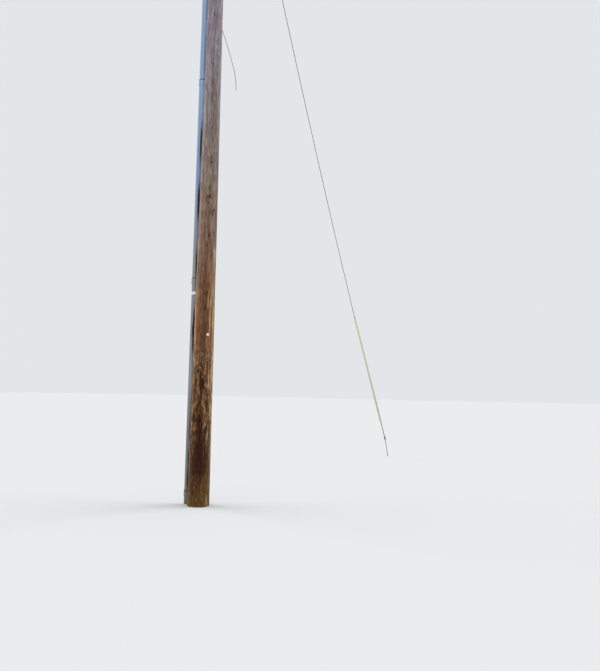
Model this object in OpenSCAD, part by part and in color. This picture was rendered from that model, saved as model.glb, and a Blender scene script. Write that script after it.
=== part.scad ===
// Wooden utility pole with a conduit riser and a down guy, from ground level up.
// The origin is the centre of the pole at the ground, +Z runs up the pole and +X points to the guy's anchor.

/* [Pole] */
// Height of the pole above the ground
pole_h = 11900; // [10500:100:13500]
// Diameter of the pole at the ground
pole_base_d = 302; // [270:1:360]
// Diameter of the pole at its top
pole_top_d = 164; // [150:1:210]
// How the taper is spread, 1 is even and more is slower near the ground
pole_taper = 1.12; // [1:0.01:1.3]
// Width of the chamfer round the top edge
pole_chamfer = 8; // [3:1:20]

/* [Riser] */
// Outside diameter of the conduit
riser_d = 88.9; // [60.3:0.1:101.6]
// Wall of the conduit
riser_wall = 5.5; // [3.5:0.1:8]
// Gap between the conduit and the pole at the ground
riser_gap = 8; // [7:1:60]
// Direction of the riser from the pole, turned from the guy
riser_turn = 84; // [60:1:120]
// Length of one stick of conduit
stick_l = 3050; // [2900:10:3200]
// Depth of the socket in a bell
socket_l = 80; // [60:5:150]
// Length of the flare below a bell
flare_l = 25; // [15:1:50]
// Height of the first joint above the ground
stub_h = 190; // [150:10:500]
// Gap left between the end of a stick and the shoulder of the bell that it stands in
spigot_gap = 6; // [4:1:12]
// Distance from the pole's top down to the riser's top
riser_drop = 800; // [700:10:1600]
// Height of the lowest strap
strap_low = 2935; // [1500:5:3000]
// Distance of the highest strap below the riser's top
strap_top_drop = 500; // [300:10:900]
// Width of a strap
strap_w = 44; // [25:1:60]
// Thickness of a strap
strap_t = 3; // [2:0.5:5]
// Length of a strap's ear along the pole
ear_l = 36; // [28:1:48]
// Diameter of a strap's lag screw
lag_d = 8; // [6:0.5:10]
// Length of a lag screw in the wood
lag_l = 60; // [40:5:80]

/* [Weatherhead] */
// Depth of the collar over the conduit
collar_l = 60; // [40:5:90]
// Wall of the hood
hood_wall = 4; // [3:0.5:6]
// Radius of the hood, across its bend
hood_r = 58; // [54:1:64]
// Height over which the collar widens into the hood
hood_rise = 20; // [10:1:40]
// Gap inside the hood's bend
hood_throat = 8; // [4:1:20]
// Direction that the hood faces, turned from the guy
hood_turn = 130; // [90:5:180]
// Tilt of the hood's face below level
hood_tilt = 40; // [30:1:50]
// Width of the lip round the hood's face
hood_lip = 4; // [2:0.5:8]
// Diameter of the bosses for the collar's set screws
boss_d = 18; // [14:1:24]
// Thickness of the insert
insert_t = 6; // [4:1:8]
// Diameter of each hole in the insert
insert_hole_d = 24; // [16:1:28]

/* [Guy] */
// Distance from the pole's top down to the guy's bolt
guy_drop = 300; // [200:10:600]
// Distance from the pole to where the anchor rod leaves the ground
guy_lead = 8200; // [6000:100:10000]
// How far the guy sags below the straight line
guy_sag = 360; // [100:10:500]
// Diameter of the strand
strand_d = 11.1; // [7.9:0.1:12.7]
// Length that a grip is wound along the strand
grip_l = 700; // [500:10:900]
// Thickness of the rods wound on by a grip
grip_rod = 3.6; // [2:0.1:4]
// Width of the ribbon of rods on each leg of a grip
ribbon_w = 15; // [8:0.5:16]
// Length of one turn of a grip along the strand
grip_pitch = 100; // [80:5:150]
// Diameter of the grip's loop
loop_d = 9.6; // [7:0.1:11]
// Length of the guard tube
guard_l = 3050; // [2100:50:3100]
// Distance of the guard's foot from the anchor eye
guard_rise = 520; // [300:10:700]
// Outside diameter of the guard
guard_d = 48; // [42:1:60]
// Wall of the guard
guard_wall = 2.5; // [2:0.5:4]
// Width of the slit along the guard
guard_slit = 7; // [4:1:10]
// Length of each clamp in the guard
clamp_l = 26; // [20:1:40]

/* [Bolts and eyes] */
// Diameter of the through bolt
bolt_d = 16; // [12:0.5:20]
// Side of a curved washer
washer_w = 76; // [60:1:90]
// Thickness of a curved washer
washer_t = 6; // [4:0.5:8]
// Radius of the groove that carries a grip
groove_r = 17; // [14:0.5:20]
// Thickness of the bar of an eye
eye_bar = 14; // [12:0.5:16]
// Diameter of the anchor rod
rod_d = 19; // [16:0.5:25]
// Height of the anchor rod's hub
rod_h = 430; // [300:10:600]
// Slope of the anchor rod
rod_slope = 64; // [55:1:75]

/* [Line clevis] */
// Height of the spool
spool_h = 76; // [60:1:90]
// Diameter of the spool
spool_d = 79; // [65:1:90]
// Depth of the groove in the spool
spool_groove = 14; // [10:1:18]
// Bore of the spool
spool_bore = 17.5; // [17:0.1:19]
// Width of the clevis bar
clevis_w = 44; // [38:1:50]
// Thickness of the clevis bar
clevis_t = 6; // [5:0.5:8]
// Clear space between the bolt's end and the spool
clevis_reach = 15; // [10:1:30]
// Diameter of the cotter through the pin's tail
cotter_d = 4; // [3:0.5:6]

/* [Small fittings] */
// Diameter of the button tag
tag_d = 38; // [30:1:50]
// Height of the button tag
tag_h = 2330; // [1500:10:2600]
// Direction of the button tag, turned from the guy
tag_turn = -123; // [-150:1:-90]
// Thickness of the button tag
tag_t = 2; // [1:0.5:4]

/* [Hidden] */
$fn = 48;

// Clearance between pieces that are fitted together
fit = 0.3;
// Overrun of a cut past the face that it opens
cut = 1;
// Straight stretches that the pole's profile is drawn with
taper_steps = 24;

guy_h = pole_h - guy_drop;
riser_top = pole_h - riser_drop;
// The second strap stands half way between two joints
strap_heights = [strap_low, (rim(2) + rim(3)) / 2, riser_top - strap_top_drop];

riser_r = riser_d / 2;
riser_off = pole_base_d / 2 + riser_gap + riser_r;
riser_at = [riser_off * cos(riser_turn), riser_off * sin(riser_turn)];
bell_r = riser_r + fit + riser_wall;
hole_clear = 0.4;
// Share of an ear's length at which its screw stands
ear_hole = 0.58;
screw_head_d = 15;
screw_head_t = 6;

// Hood in its own frame: the conduit's top is at the origin and the hood bends over towards +X
hood_bend = hood_r + hood_throat;
face_at = [hood_bend * (1 + sin(hood_tilt)), 0, hood_rise + hood_bend * cos(hood_tilt)];
insert_r = hood_r - hood_wall - fit;
lip_t = 6;
// How far the hollow's bend turns on past the hood's face, in degrees
cut_turn = 3;
boss_out = 7;
bead_h = 8;
bead_out = 2.5;

nail_d = 3;
nail_l = 30;
nail_head_d = 9;
nail_head_t = 1.5;

wire_d = 7;
wire_sides = 8;
wire_clamp_w = 18;
wire_clamp_h = 26;
// Depth to which the clamp's foot is let in behind its curved seat
wire_clamp_foot = 4;
// Centre line of the cut-off wire, from its clamp to its bare end
wire_route = [
    [115, -21, 7090], [115, -21, 7060], [118, -24, 7020], [125, -30, 6970], [136, -40, 6920],
    [150, -55, 6865], [164, -72, 6805], [178, -89, 6740], [192, -107, 6670], [206, -125, 6600],
    [220, -142, 6530], [233, -159, 6460], [245, -174, 6395], [256, -187, 6335], [265, -197, 6280],
    [272, -205, 6225], [277, -211, 6170], [281, -216, 6110], [284, -219, 6050], [286, -221, 6005]
];
wire_last = len(wire_route) - 1;

// Radius of the pole at a height
function pole_r(z) = pole_base_d / 2 - (pole_base_d - pole_top_d) / 2 * pow(z / pole_h, pole_taper);
// Height of the rim of a bell, counted from the stub's
function rim(i) = stub_h + i * (stick_l - socket_l);

// The hub of each eye, the straight line between them and the guy's path below it
washer_face = pole_r(guy_h - washer_w / 2) + fit + washer_t;
web = 3;
hub_r = eye_bar + web;
eye_l = 2.2 * eye_bar + groove_r + web;
hub_top = [washer_face + fit + hub_r, guy_h];
hub_low = [guy_lead - rod_h / tan(rod_slope), rod_h];
chord = norm(hub_low - hub_top);
throat = 75;
top_straight = eye_l + throat + grip_l + 120;
low_straight = eye_l + guard_rise + guard_l + guy_sag;
sag_steps = 8;
function guy_at(u) =
    hub_top + u * (hub_low - hub_top) - [0, 4 * guy_sag * u * (1 - u)];
u_top = top_straight / chord;
u_low = 1 - low_straight / chord;
bend_top = guy_at(u_top);
bend_low = guy_at(u_low);
dir_top = unit(bend_top - hub_top);
dir_low = unit(bend_low - hub_low);
eye_top = hub_top + eye_l * dir_top;
eye_low = hub_low + eye_l * dir_low;
guy_line = concat(
    [eye_top + throat * dir_top],
    [for (i = [0 : sag_steps]) guy_at(u_top + (u_low - u_top) * i / sag_steps)],
    [eye_low + throat * dir_low]
);
tilt_top = atan2(dir_top[0], dir_top[1]);
tilt_low = atan2(dir_low[0], dir_low[1]);

flange_r = groove_r + 9;
flange_t = 4;
saddle_w = 2 * (eye_bar / 2 + loop_d / 2 + 6);
arm_r = saddle_w / 2;
loop_r = groove_r + loop_d / 2 + fit;
wrap_start = 110;
wrap_gap = 0.5;
wrap_r = strand_d / 2 + wrap_gap + grip_rod;
strand_sides = 12;
strand_last = len(guy_line) - 1;

// Steps of a grip: points of its section, rings in a turn, on the way to the loop and round the loop
grip_sides = 12;
turn_steps = 12;
wind_steps = round(grip_l / grip_pitch * turn_steps);
leg_steps = 4;
loop_steps = 14;
wind_r = strand_d / 2 + wrap_gap + grip_rod / 2;
wind_slope = atan(2 * PI * wind_r / grip_pitch);
leg_lean = asin(loop_r / norm([wind_r, wrap_start])) - atan2(wind_r, wrap_start);

guard_end = 6;

arm_gap = 0.5;
nut_w = 26;
nut_t = 13;
nut_chamfer = 3;
thread_end = 8;
pin_head_d = 26;
pin_head = 8;
pin_tail = 16;
cotter_l = 34;
spool_lip = 12;
clevis_face = washer_face + fit;
spool_x = clevis_face + clevis_t + nut_t + thread_end + clevis_reach + spool_d / 2;
arm_z = spool_h / 2 + arm_gap;

galvanised = "#a9adaf";
grey_pvc = "#8d9297";

function unit(v) = v / norm(v);

module at_riser(z = 0) {
    translate([riser_at[0], riser_at[1], z])
        children();
}

// Places a piece on the guy's plane, with its own +Z along the strand
module on_guy(at, tilt) {
    translate([at[0], 0, at[1]])
        rotate([0, tilt, 0])
            children();
}

module rounded_square(size, r) {
    translate([r, 0])
        square([size[0] - 2 * r, size[1]]);
    translate([0, r])
        square([size[0], size[1] - 2 * r]);
    for (x = [r, size[0] - r], y = [r, size[1] - r])
        translate([x, y])
            circle(r = r);
}

// Radial hole or screw at a height and a direction, from outside radius r1 in to r0
module radial(z, turn, r0, r1, d) {
    rotate([0, 0, turn])
        translate([r0, 0, z])
            rotate([0, 90, 0])
                cylinder(d = d, h = r1 - r0);
}

function strap_seat(z) = pole_r(z - strap_w / 2) + fit;
// An ear starts inside the wall of its leg, where both stand on the pole
function ear_start(z) = asin((riser_r + fit + 0.15 * strap_t) / strap_seat(z));
function ear_angle(z) = ear_l / strap_seat(z) * 180 / PI;
function screw_turn(z) = ear_start(z) + ear_hole * ear_angle(z);

module pole_shaft() {
    color("#6f5140")
    difference() {
        rotate_extrude()
            polygon(concat(
                [[0, 0]],
                [for (i = [0 : taper_steps])
                    let (z = i / taper_steps * (pole_h - pole_chamfer)) [pole_r(z), z]],
                [[pole_r(pole_h) - pole_chamfer, pole_h], [0, pole_h]]
            ));
        translate([0, 0, guy_h])
            rotate([0, 90, 0])
                cylinder(d = bolt_d + 2 * hole_clear, h = 2 * pole_base_d, center = true);
        for (z = strap_heights, side = [-1, 1])
            radial(z, riser_turn + side * screw_turn(z), pole_r(z) - lag_l - 2, pole_base_d, lag_d + hole_clear);
        radial(tag_h, tag_turn, pole_r(tag_h) - nail_l - 2, pole_base_d, nail_d + hole_clear);
    }
}

// Square washer bent to the pole's round, centred on +X
module curved_washer() {
    seat = washer_face - washer_t;
    difference() {
        intersection() {
            translate([0, 0, guy_h - washer_w / 2])
                cylinder(r = washer_face, h = washer_w);
            translate([0, -washer_w / 2, guy_h - washer_w / 2])
                cube([washer_face + cut, washer_w, washer_w]);
        }
        translate([0, 0, guy_h - washer_w / 2 - cut])
            cylinder(r = seat, h = washer_w + 2 * cut);
        translate([0, 0, guy_h])
            rotate([0, 90, 0])
                cylinder(d = bolt_d + 2 * hole_clear, h = washer_face + cut);
    }
}

module guy_washer() {
    color(galvanised)
        curved_washer();
}

module line_washer() {
    color(galvanised)
        rotate([0, 0, 180])
            curved_washer();
}

// Forged eye: a grooved saddle across the fork of a bar, with the hub below it and the strand along +Z
module thimble_eye() {
    rotate([90, 0, 0])
        rotate_extrude()
            difference() {
                union() {
                    translate([0, -saddle_w / 2])
                        square([groove_r, saddle_w]);
                    for (y = [-saddle_w / 2, saddle_w / 2 - flange_t])
                        translate([0, y])
                            square([flange_r, flange_t]);
                    translate([0, -saddle_w / 2])
                        square([groove_r + web, saddle_w]);
                }
                translate([groove_r + loop_d / 2, 0])
                    circle(d = loop_d + 2 * fit);
            }
    for (y = [-1, 1])
        translate([0, y * (arm_r + eye_bar / 2 - flange_t), -eye_l + hub_r + arm_r])
            cylinder(d = eye_bar, h = eye_l - hub_r - arm_r);
    for (y = [-1, 1])
        translate([0, y * (arm_r + eye_bar / 2 - flange_t), 0])
            sphere(d = eye_bar);
    translate([0, 0, -eye_l + hub_r + arm_r])
        rotate([0, 90, 0])
            rotate_extrude()
                translate([arm_r + eye_bar / 2 - flange_t, 0])
                    circle(d = eye_bar);
}

module guy_eye_bolt() {
    color(galvanised) {
        on_guy(eye_top, tilt_top)
            thimble_eye();
        translate([hub_top[0], 0, guy_h])
            sphere(r = hub_r);
        translate([washer_face + fit, 0, guy_h])
            rotate([0, 90, 0])
                cylinder(r = hub_r - 2, h = hub_r);
        translate([-clevis_face - clevis_t - nut_t - thread_end, 0, guy_h])
            rotate([0, 90, 0])
                cylinder(d = bolt_d, h = clevis_face + clevis_t + nut_t + thread_end + washer_face + hub_r);
    }
}

module anchor_rod() {
    color(galvanised) {
        on_guy(eye_low, tilt_low)
            thimble_eye();
        translate([hub_low[0], 0, rod_h])
            sphere(r = hub_r);
        intersection() {
            translate([guy_lead, 0, 0])
                rotate([0, rod_slope - 90, 0])
                    translate([0, 0, -rod_d * 2])
                        cylinder(d = rod_d, h = rod_h / sin(rod_slope) + rod_d * 2);
            translate([guy_lead - rod_h * 2, -rod_d, 0])
                cube([rod_h * 3, 2 * rod_d, rod_h * 2]);
        }
    }
}

// Square nut with its corners turned off at both faces
module line_nut() {
    face = nut_w * 0.6;
    corner = face + 1.5 * nut_chamfer;
    color(galvanised)
    translate([-clevis_face - clevis_t - nut_t, 0, guy_h])
        difference() {
            intersection() {
                translate([0, -nut_w / 2, -nut_w / 2])
                    cube([nut_t, nut_w, nut_w]);
                rotate([0, 90, 0])
                    rotate_extrude()
                        polygon([
                            [0, 0], [face, 0], [corner, nut_chamfer],
                            [corner, nut_t - nut_chamfer], [face, nut_t], [0, nut_t]
                        ]);
            }
            translate([-cut, 0, 0])
                rotate([0, 90, 0])
                    cylinder(d = bolt_d + fit, h = nut_t + 2 * cut);
        }
}

module line_clevis() {
    outer_r = clevis_t + 4;
    color(galvanised)
    translate([0, 0, guy_h])
    rotate([0, 0, 180])
    difference() {
        intersection() {
            translate([0, clevis_w / 2, 0])
                rotate([90, 0, 0])
                    linear_extrude(height = clevis_w)
                        difference() {
                            translate([clevis_face, -arm_z - clevis_t])
                                rounded_square([spool_x + clevis_w, 2 * (arm_z + clevis_t)], outer_r);
                            translate([clevis_face + clevis_t, -arm_z])
                                rounded_square([spool_x + clevis_w, 2 * arm_z], outer_r - clevis_t);
                        }
            translate([0, 0, -arm_z - clevis_t - cut])
                linear_extrude(height = 2 * (arm_z + clevis_t + cut))
                    union() {
                        translate([0, -clevis_w / 2])
                            square([spool_x, clevis_w]);
                        translate([spool_x, 0])
                            circle(d = clevis_w);
                    }
        }
        translate([clevis_face - cut, 0, 0])
            rotate([0, 90, 0])
                cylinder(d = bolt_d + 2 * hole_clear, h = clevis_t + 2 * cut);
        translate([spool_x, 0, -arm_z - clevis_t - cut])
            cylinder(d = bolt_d + 2 * fit, h = 2 * (arm_z + clevis_t + cut));
    }
}

// Headed pin with a cotter through its tail, whose eye stands out to one side
module clevis_pin() {
    color(galvanised)
    translate([-spool_x, 0, guy_h]) {
        translate([0, 0, -arm_z - clevis_t - pin_tail])
            cylinder(d = bolt_d, h = 2 * (arm_z + clevis_t) + pin_tail + fit);
        translate([0, 0, arm_z + clevis_t + fit])
            cylinder(d = pin_head_d, h = pin_head);
        translate([0, 0, -arm_z - clevis_t - pin_tail / 2])
            rotate([90, 0, 0])
                cylinder(d = cotter_d, h = cotter_l, center = true);
        translate([0, cotter_l / 2, -arm_z - clevis_t - pin_tail / 2])
            rotate([0, 90, 0])
                rotate_extrude()
                    translate([cotter_d, 0])
                        circle(d = cotter_d);
    }
}

module line_spool() {
    half = spool_h / 2;
    r = spool_d / 2;
    color("#6b3a2a")
    translate([-spool_x, 0, guy_h])
        rotate_extrude()
            difference() {
                translate([spool_bore / 2, -half])
                    square([r - spool_bore / 2, spool_h]);
                translate([r + half - spool_groove, 0])
                    circle(r = half - spool_lip);
                translate([r - spool_groove, -half + 2.5 * spool_lip])
                    square([spool_groove + cut, 2 * (half - 2.5 * spool_lip)]);
            }
}

// Dead-end grip: a loop round the saddle, two legs that close in on the strand, and both legs wound
// along it half a turn apart. One section of twelve points is carried along the whole way: it is a
// round cord in the loop and a ribbon bent to the strand where it is wound.

// Point k of the section: how far it lies across the ribbon and how far out
function section_v(k) = cos(15 + 30 * k);
function cord_out(k) = sin(15 + 30 * k);
function ribbon_out(k) = (cord_out(k) > 0 ? 1 : -1) * (abs(section_v(k)) > 0.9 ? 0.6 : 1);

// Section of the ribbon at a height of the winding, on the leg of side 1 or -1
function wound(z, side) =
    let (turn = (z - wrap_start) / grip_pitch * 360 + (side > 0 ? 0 : 180))
    [for (k = [0 : grip_sides - 1])
        let (
            across = -side * section_v(k) * ribbon_w / 2,
            r = wind_r + ribbon_out(k) * grip_rod / 2,
            a = turn + across * cos(wind_slope) / wind_r * 180 / PI
        )
        [r * cos(a), r * sin(a), z - across * sin(wind_slope)]];

// Section of the cord round a point of the loop's plane, whose outward direction is given
function corded(at, out) =
    [for (k = [0 : grip_sides - 1])
        let (r = loop_d / 2)
        [at[0] + out[0] * r * cord_out(k), -r * section_v(k), at[1] + out[1] * r * cord_out(k)]];

// Section part of the way, w, from the ribbon's first turn to the cord at the loop's end
function leg_section(w, side) =
    let (
        a = wound(wrap_start, side),
        b = corded(loop_r * [side * cos(leg_lean), sin(leg_lean)], [side * cos(leg_lean), sin(leg_lean)])
    )
    a + w * (b - a);

grip_rings = concat(
    [for (i = [0 : wind_steps]) wound(wrap_start + grip_l * (1 - i / wind_steps), 1)],
    [for (i = [1 : leg_steps]) leg_section(i / leg_steps, 1)],
    [for (i = [1 : loop_steps - 1])
        let (a = leg_lean - i / loop_steps * (180 + 2 * leg_lean), out = [cos(a), sin(a)])
        corded(loop_r * out, out)],
    [for (i = [leg_steps : -1 : 1]) leg_section(i / leg_steps, -1)],
    [for (i = [0 : wind_steps]) wound(wrap_start + grip_l * i / wind_steps, -1)]
);

module guy_grip() {
    polyhedron(
        points = [for (ring = grip_rings) each ring],
        faces = tube_faces(len(grip_rings), grip_sides),
        convexity = 10
    );
}

module guy_grip_upper() {
    color("#8f9294")
        on_guy(eye_top, tilt_top)
            guy_grip();
}

module guy_grip_lower() {
    color("#8f9294")
        on_guy(eye_low, tilt_low)
            guy_grip();
}

// Direction of the guy's line at one of its points, between the stretches on both sides
function guy_dir(i) = unit(guy_line[min(i + 1, strand_last)] - guy_line[max(i - 1, 0)]);
function strand_ring(i) =
    let (d = guy_dir(i), p = guy_line[i])
    [for (k = [0 : strand_sides - 1])
        let (a = 360 * k / strand_sides, r = strand_d / 2)
        [p[0] - d[1] * r * cos(a), r * sin(a), p[1] + d[0] * r * cos(a)]];

// Faces of a tube of rings, each with the same number of points
function tube_faces(rings, sides) = concat(
    [[for (k = [sides - 1 : -1 : 0]) k]],
    [for (i = [0 : rings - 2], k = [0 : sides - 1], half = [0, 1])
        let (n = (k + 1) % sides)
        half == 0
            ? [i * sides + k, i * sides + n, (i + 1) * sides + n]
            : [i * sides + k, (i + 1) * sides + n, (i + 1) * sides + k]],
    [[for (k = [0 : sides - 1]) (rings - 1) * sides + k]]
);

module guy_strand() {
    color("#77797b")
        polyhedron(
            points = [for (i = [0 : strand_last]) each strand_ring(i)],
            faces = tube_faces(strand_last + 1, strand_sides),
            convexity = 4
        );
}

module guy_guard() {
    color("#d8d2bd")
    on_guy(eye_low, tilt_low)
        translate([0, 0, guard_rise])
            difference() {
                cylinder(d = guard_d, h = guard_l);
                translate([0, 0, -cut])
                    cylinder(d = guard_d - 2 * guard_wall, h = guard_l + 2 * cut);
                translate([0, -guard_slit / 2, -cut])
                    cube([guard_d, guard_slit, guard_l + 2 * cut]);
            }
}

// Ring that holds the guard on what runs through it
module guard_clamp(rise, inner_r) {
    on_guy(eye_low, tilt_low)
        translate([0, 0, rise])
            difference() {
                cylinder(r = guard_d / 2 - guard_wall - fit, h = clamp_l);
                translate([0, 0, -cut])
                    cylinder(r = inner_r + fit, h = clamp_l + 2 * cut);
            }
}

module guard_clamp_upper() {
    color(galvanised)
        guard_clamp(guard_rise + guard_l - clamp_l - guard_end, strand_d / 2);
}

module guard_clamp_lower() {
    color(galvanised)
        guard_clamp(guard_rise + guard_end, wrap_r);
}

// Stick of conduit standing on its plain end, with a bell on top when it has one
module conduit(z0, z1, bell) {
    inner = riser_r - riser_wall;
    straight = z1 - socket_l - flare_l;
    profile = bell
        ? [[inner, z0], [riser_r, z0], [riser_r, straight], [bell_r, z1 - socket_l], [bell_r, z1],
           [riser_r + fit, z1], [riser_r + fit, z1 - socket_l], [inner, z1 - socket_l]]
        : [[inner, z0], [riser_r, z0], [riser_r, z1], [inner, z1]];
    color(grey_pvc)
        at_riser()
            rotate_extrude()
                polygon(profile);
}

module riser_stub() {
    conduit(0, rim(0), true);
}

module riser_pipe(i) {
    conduit(rim(i - 1) - socket_l + spigot_gap, i < 4 ? rim(i) : riser_top, i < 4);
}

// Outline of a strap seen from above, with the riser along +X: the band, its legs and its ears on the pole
module strap_outline(z) {
    seat = strap_seat(z);
    inner = riser_r + fit;
    ear_end = ear_start(z) + ear_angle(z);
    reach = 2 * (seat + strap_t);
    difference() {
        union() {
            difference() {
                union() {
                    translate([riser_off, 0])
                        circle(r = inner + strap_t);
                    translate([0, -inner - strap_t])
                        square([riser_off, 2 * (inner + strap_t)]);
                }
                translate([riser_off, 0])
                    circle(r = inner);
                translate([0, -inner])
                    square([riser_off, 2 * inner]);
            }
            for (side = [-1, 1])
                intersection() {
                    circle(r = seat + strap_t);
                    polygon([
                        [0, 0],
                        reach * [cos(ear_start(z)), side * sin(ear_start(z))],
                        reach * [cos(ear_end), side * sin(ear_end)]
                    ]);
                }
        }
        circle(r = seat);
    }
}

module riser_strap(i) {
    z = strap_heights[i];
    color(galvanised)
    rotate([0, 0, riser_turn])
    difference() {
        translate([0, 0, z - strap_w / 2])
            linear_extrude(height = strap_w)
                strap_outline(z);
        for (side = [-1, 1])
            radial(z, side * screw_turn(z), strap_seat(z) - cut, strap_seat(z) + strap_t + 2, lag_d + 2 * hole_clear);
    }
}

module strap_screws() {
    color(galvanised)
    for (z = strap_heights, side = [-1, 1]) {
        turn = riser_turn + side * screw_turn(z);
        face = strap_seat(z) + strap_t + fit;
        radial(z, turn, pole_r(z) - lag_l, face + cut, lag_d);
        rotate([0, 0, turn])
            translate([face, 0, z])
                rotate([0, 90, 0])
                    cylinder(d = screw_head_d, h = screw_head_t, $fn = 6);
    }
}

module hood_frame() {
    at_riser(riser_top)
        rotate([0, 0, hood_turn])
            children();
}

module hood_face() {
    translate(face_at)
        rotate([0, 90 + hood_tilt, 0])
            children();
}

// Neck that widens from the conduit, and the bend that carries it over and down to the face or past it
module hood_form(neck_r, r, past) {
    cylinder(r1 = neck_r, r2 = r, h = hood_rise);
    translate([hood_bend, 0, hood_rise])
        rotate([90, 0, 180])
            rotate_extrude(angle = 90 + hood_tilt + past)
                translate([hood_bend, 0])
                    circle(r = r);
}

module weatherhead_body() {
    color("#a3a6a8")
    hood_frame()
    difference() {
        union() {
            translate([0, 0, -collar_l])
                cylinder(r = bell_r, h = collar_l);
            translate([0, 0, -collar_l])
                cylinder(r = bell_r + bead_out, h = bead_h);
            hood_form(bell_r, hood_r, 0);
            hood_face()
                translate([0, 0, -lip_t])
                    cylinder(r = hood_r + hood_lip, h = lip_t);
            translate([0, 0, -collar_l / 2])
                rotate([90, 0, 0])
                    cylinder(d = boss_d, h = 2 * (bell_r + boss_out), center = true);
        }
        translate([0, 0, -collar_l - cut])
            cylinder(r = riser_r + fit, h = collar_l + cut + fit);
        hood_form(riser_r - riser_wall, hood_r - hood_wall, cut_turn);
    }
}

module weatherhead_insert() {
    color("#2e2f31")
    hood_frame()
    hood_face()
        translate([0, 0, -insert_t])
            difference() {
                cylinder(r = insert_r, h = insert_t);
                for (turn = [0, 120, 240])
                    rotate([0, 0, turn + 60])
                        translate([insert_r * 0.52, 0, -cut])
                            cylinder(d = insert_hole_d, h = insert_t + 2 * cut);
            }
}

// Lug with a round end over the wire and a foot hollowed to the pole
module wire_clamp() {
    start = wire_route[0];
    turn = atan2(start[1], start[0]);
    out = norm([start[0], start[1]]);
    seat = pole_r(start[2]) + fit;
    color(galvanised)
    rotate([0, 0, turn])
    translate([0, 0, start[2]])
    difference() {
        union() {
            translate([seat - wire_clamp_foot, -wire_clamp_w / 2, 0])
                cube([out - seat + wire_clamp_foot, wire_clamp_w, wire_clamp_h]);
            translate([out, 0, 0])
                cylinder(d = wire_clamp_w, h = wire_clamp_h);
        }
        translate([0, 0, -cut])
            cylinder(r = seat, h = wire_clamp_h + 2 * cut);
    }
}

function wire_dir(i) = unit(wire_route[min(i + 1, wire_last)] - wire_route[max(i - 1, 0)]);
function wire_ring(i) =
    let (d = wire_dir(i), a = unit(cross(d, [0.85, -0.5, 0])), b = cross(a, d))
    [for (k = [0 : wire_sides - 1])
        let (t = 360 * k / wire_sides)
        wire_route[i] + wire_d / 2 * (cos(t) * a + sin(t) * b)];

module drop_wire() {
    color("#2a2b2d")
        polyhedron(
            points = [for (i = [0 : wire_last]) each wire_ring(i)],
            faces = tube_faces(wire_last + 1, wire_sides),
            convexity = 4
        );
}

module pole_tag() {
    color("white")
    rotate([0, 0, tag_turn])
        translate([pole_r(tag_h) + fit, 0, tag_h])
            rotate([0, 90, 0])
                difference() {
                    cylinder(d = tag_d, h = tag_t);
                    translate([0, 0, -cut])
                        cylinder(d = nail_d + 2 * hole_clear, h = tag_t + 2 * cut);
                }
}

module tag_nail() {
    face = pole_r(tag_h) + fit + tag_t + fit;
    color(galvanised) {
        radial(tag_h, tag_turn, pole_r(tag_h) - nail_l, face + cut, nail_d);
        radial(tag_h, tag_turn, face, face + nail_head_t, nail_head_d);
    }
}

pole_shaft();
guy_eye_bolt();
guy_washer();
line_washer();
line_nut();
line_clevis();
clevis_pin();
line_spool();
guy_grip_upper();
guy_strand();
guy_grip_lower();
guy_guard();
guard_clamp_upper();
guard_clamp_lower();
anchor_rod();
riser_stub();
riser_pipe(1);  // riser_pipe_1
riser_pipe(2);  // riser_pipe_2
riser_pipe(3);  // riser_pipe_3
riser_pipe(4);  // riser_pipe_4
riser_strap(0);  // riser_strap_1
riser_strap(1);  // riser_strap_2
riser_strap(2);  // riser_strap_3
strap_screws();
weatherhead_body();
weatherhead_insert();
wire_clamp();
drop_wire();
pole_tag();
tag_nail();
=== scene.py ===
import math

import bmesh
import bpy
import numpy as np
from bpy.props import FloatProperty, FloatVectorProperty, IntProperty, PointerProperty
from mathutils import Matrix, Vector


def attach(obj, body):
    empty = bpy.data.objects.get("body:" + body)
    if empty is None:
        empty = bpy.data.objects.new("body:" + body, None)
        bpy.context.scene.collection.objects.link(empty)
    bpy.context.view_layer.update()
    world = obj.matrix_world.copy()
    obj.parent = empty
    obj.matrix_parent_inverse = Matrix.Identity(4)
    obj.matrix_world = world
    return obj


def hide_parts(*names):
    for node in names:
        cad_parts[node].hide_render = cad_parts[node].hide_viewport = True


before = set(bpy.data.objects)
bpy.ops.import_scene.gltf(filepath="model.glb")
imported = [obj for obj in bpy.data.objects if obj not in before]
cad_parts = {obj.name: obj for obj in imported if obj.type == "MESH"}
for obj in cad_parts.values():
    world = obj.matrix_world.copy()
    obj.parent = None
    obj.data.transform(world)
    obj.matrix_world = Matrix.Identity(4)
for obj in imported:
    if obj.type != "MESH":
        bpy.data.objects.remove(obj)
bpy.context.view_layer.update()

bl_info = {
    "name": "Wooden Utility Pole",
    "version": (1, 0, 0),
    "blender": (4, 5, 0),
    "location": "View3D > Sidebar > Utility Pole",
    "description": "Dresses a wooden utility pole with its conduit riser and its guy",
    "category": "Object",
}

# Width and height of the picture in pixels
PICTURE = (600, 671)
# Side of the pole that the picture shows, turned from the guy, its right limb and its highest point
FACING = math.radians(-144)
LIMB = FACING + math.radians(90)
SEEN_TOP = 7.3
# Clearance between pieces that are fitted together
FIT = 0.0003
MM = 0.001

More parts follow.
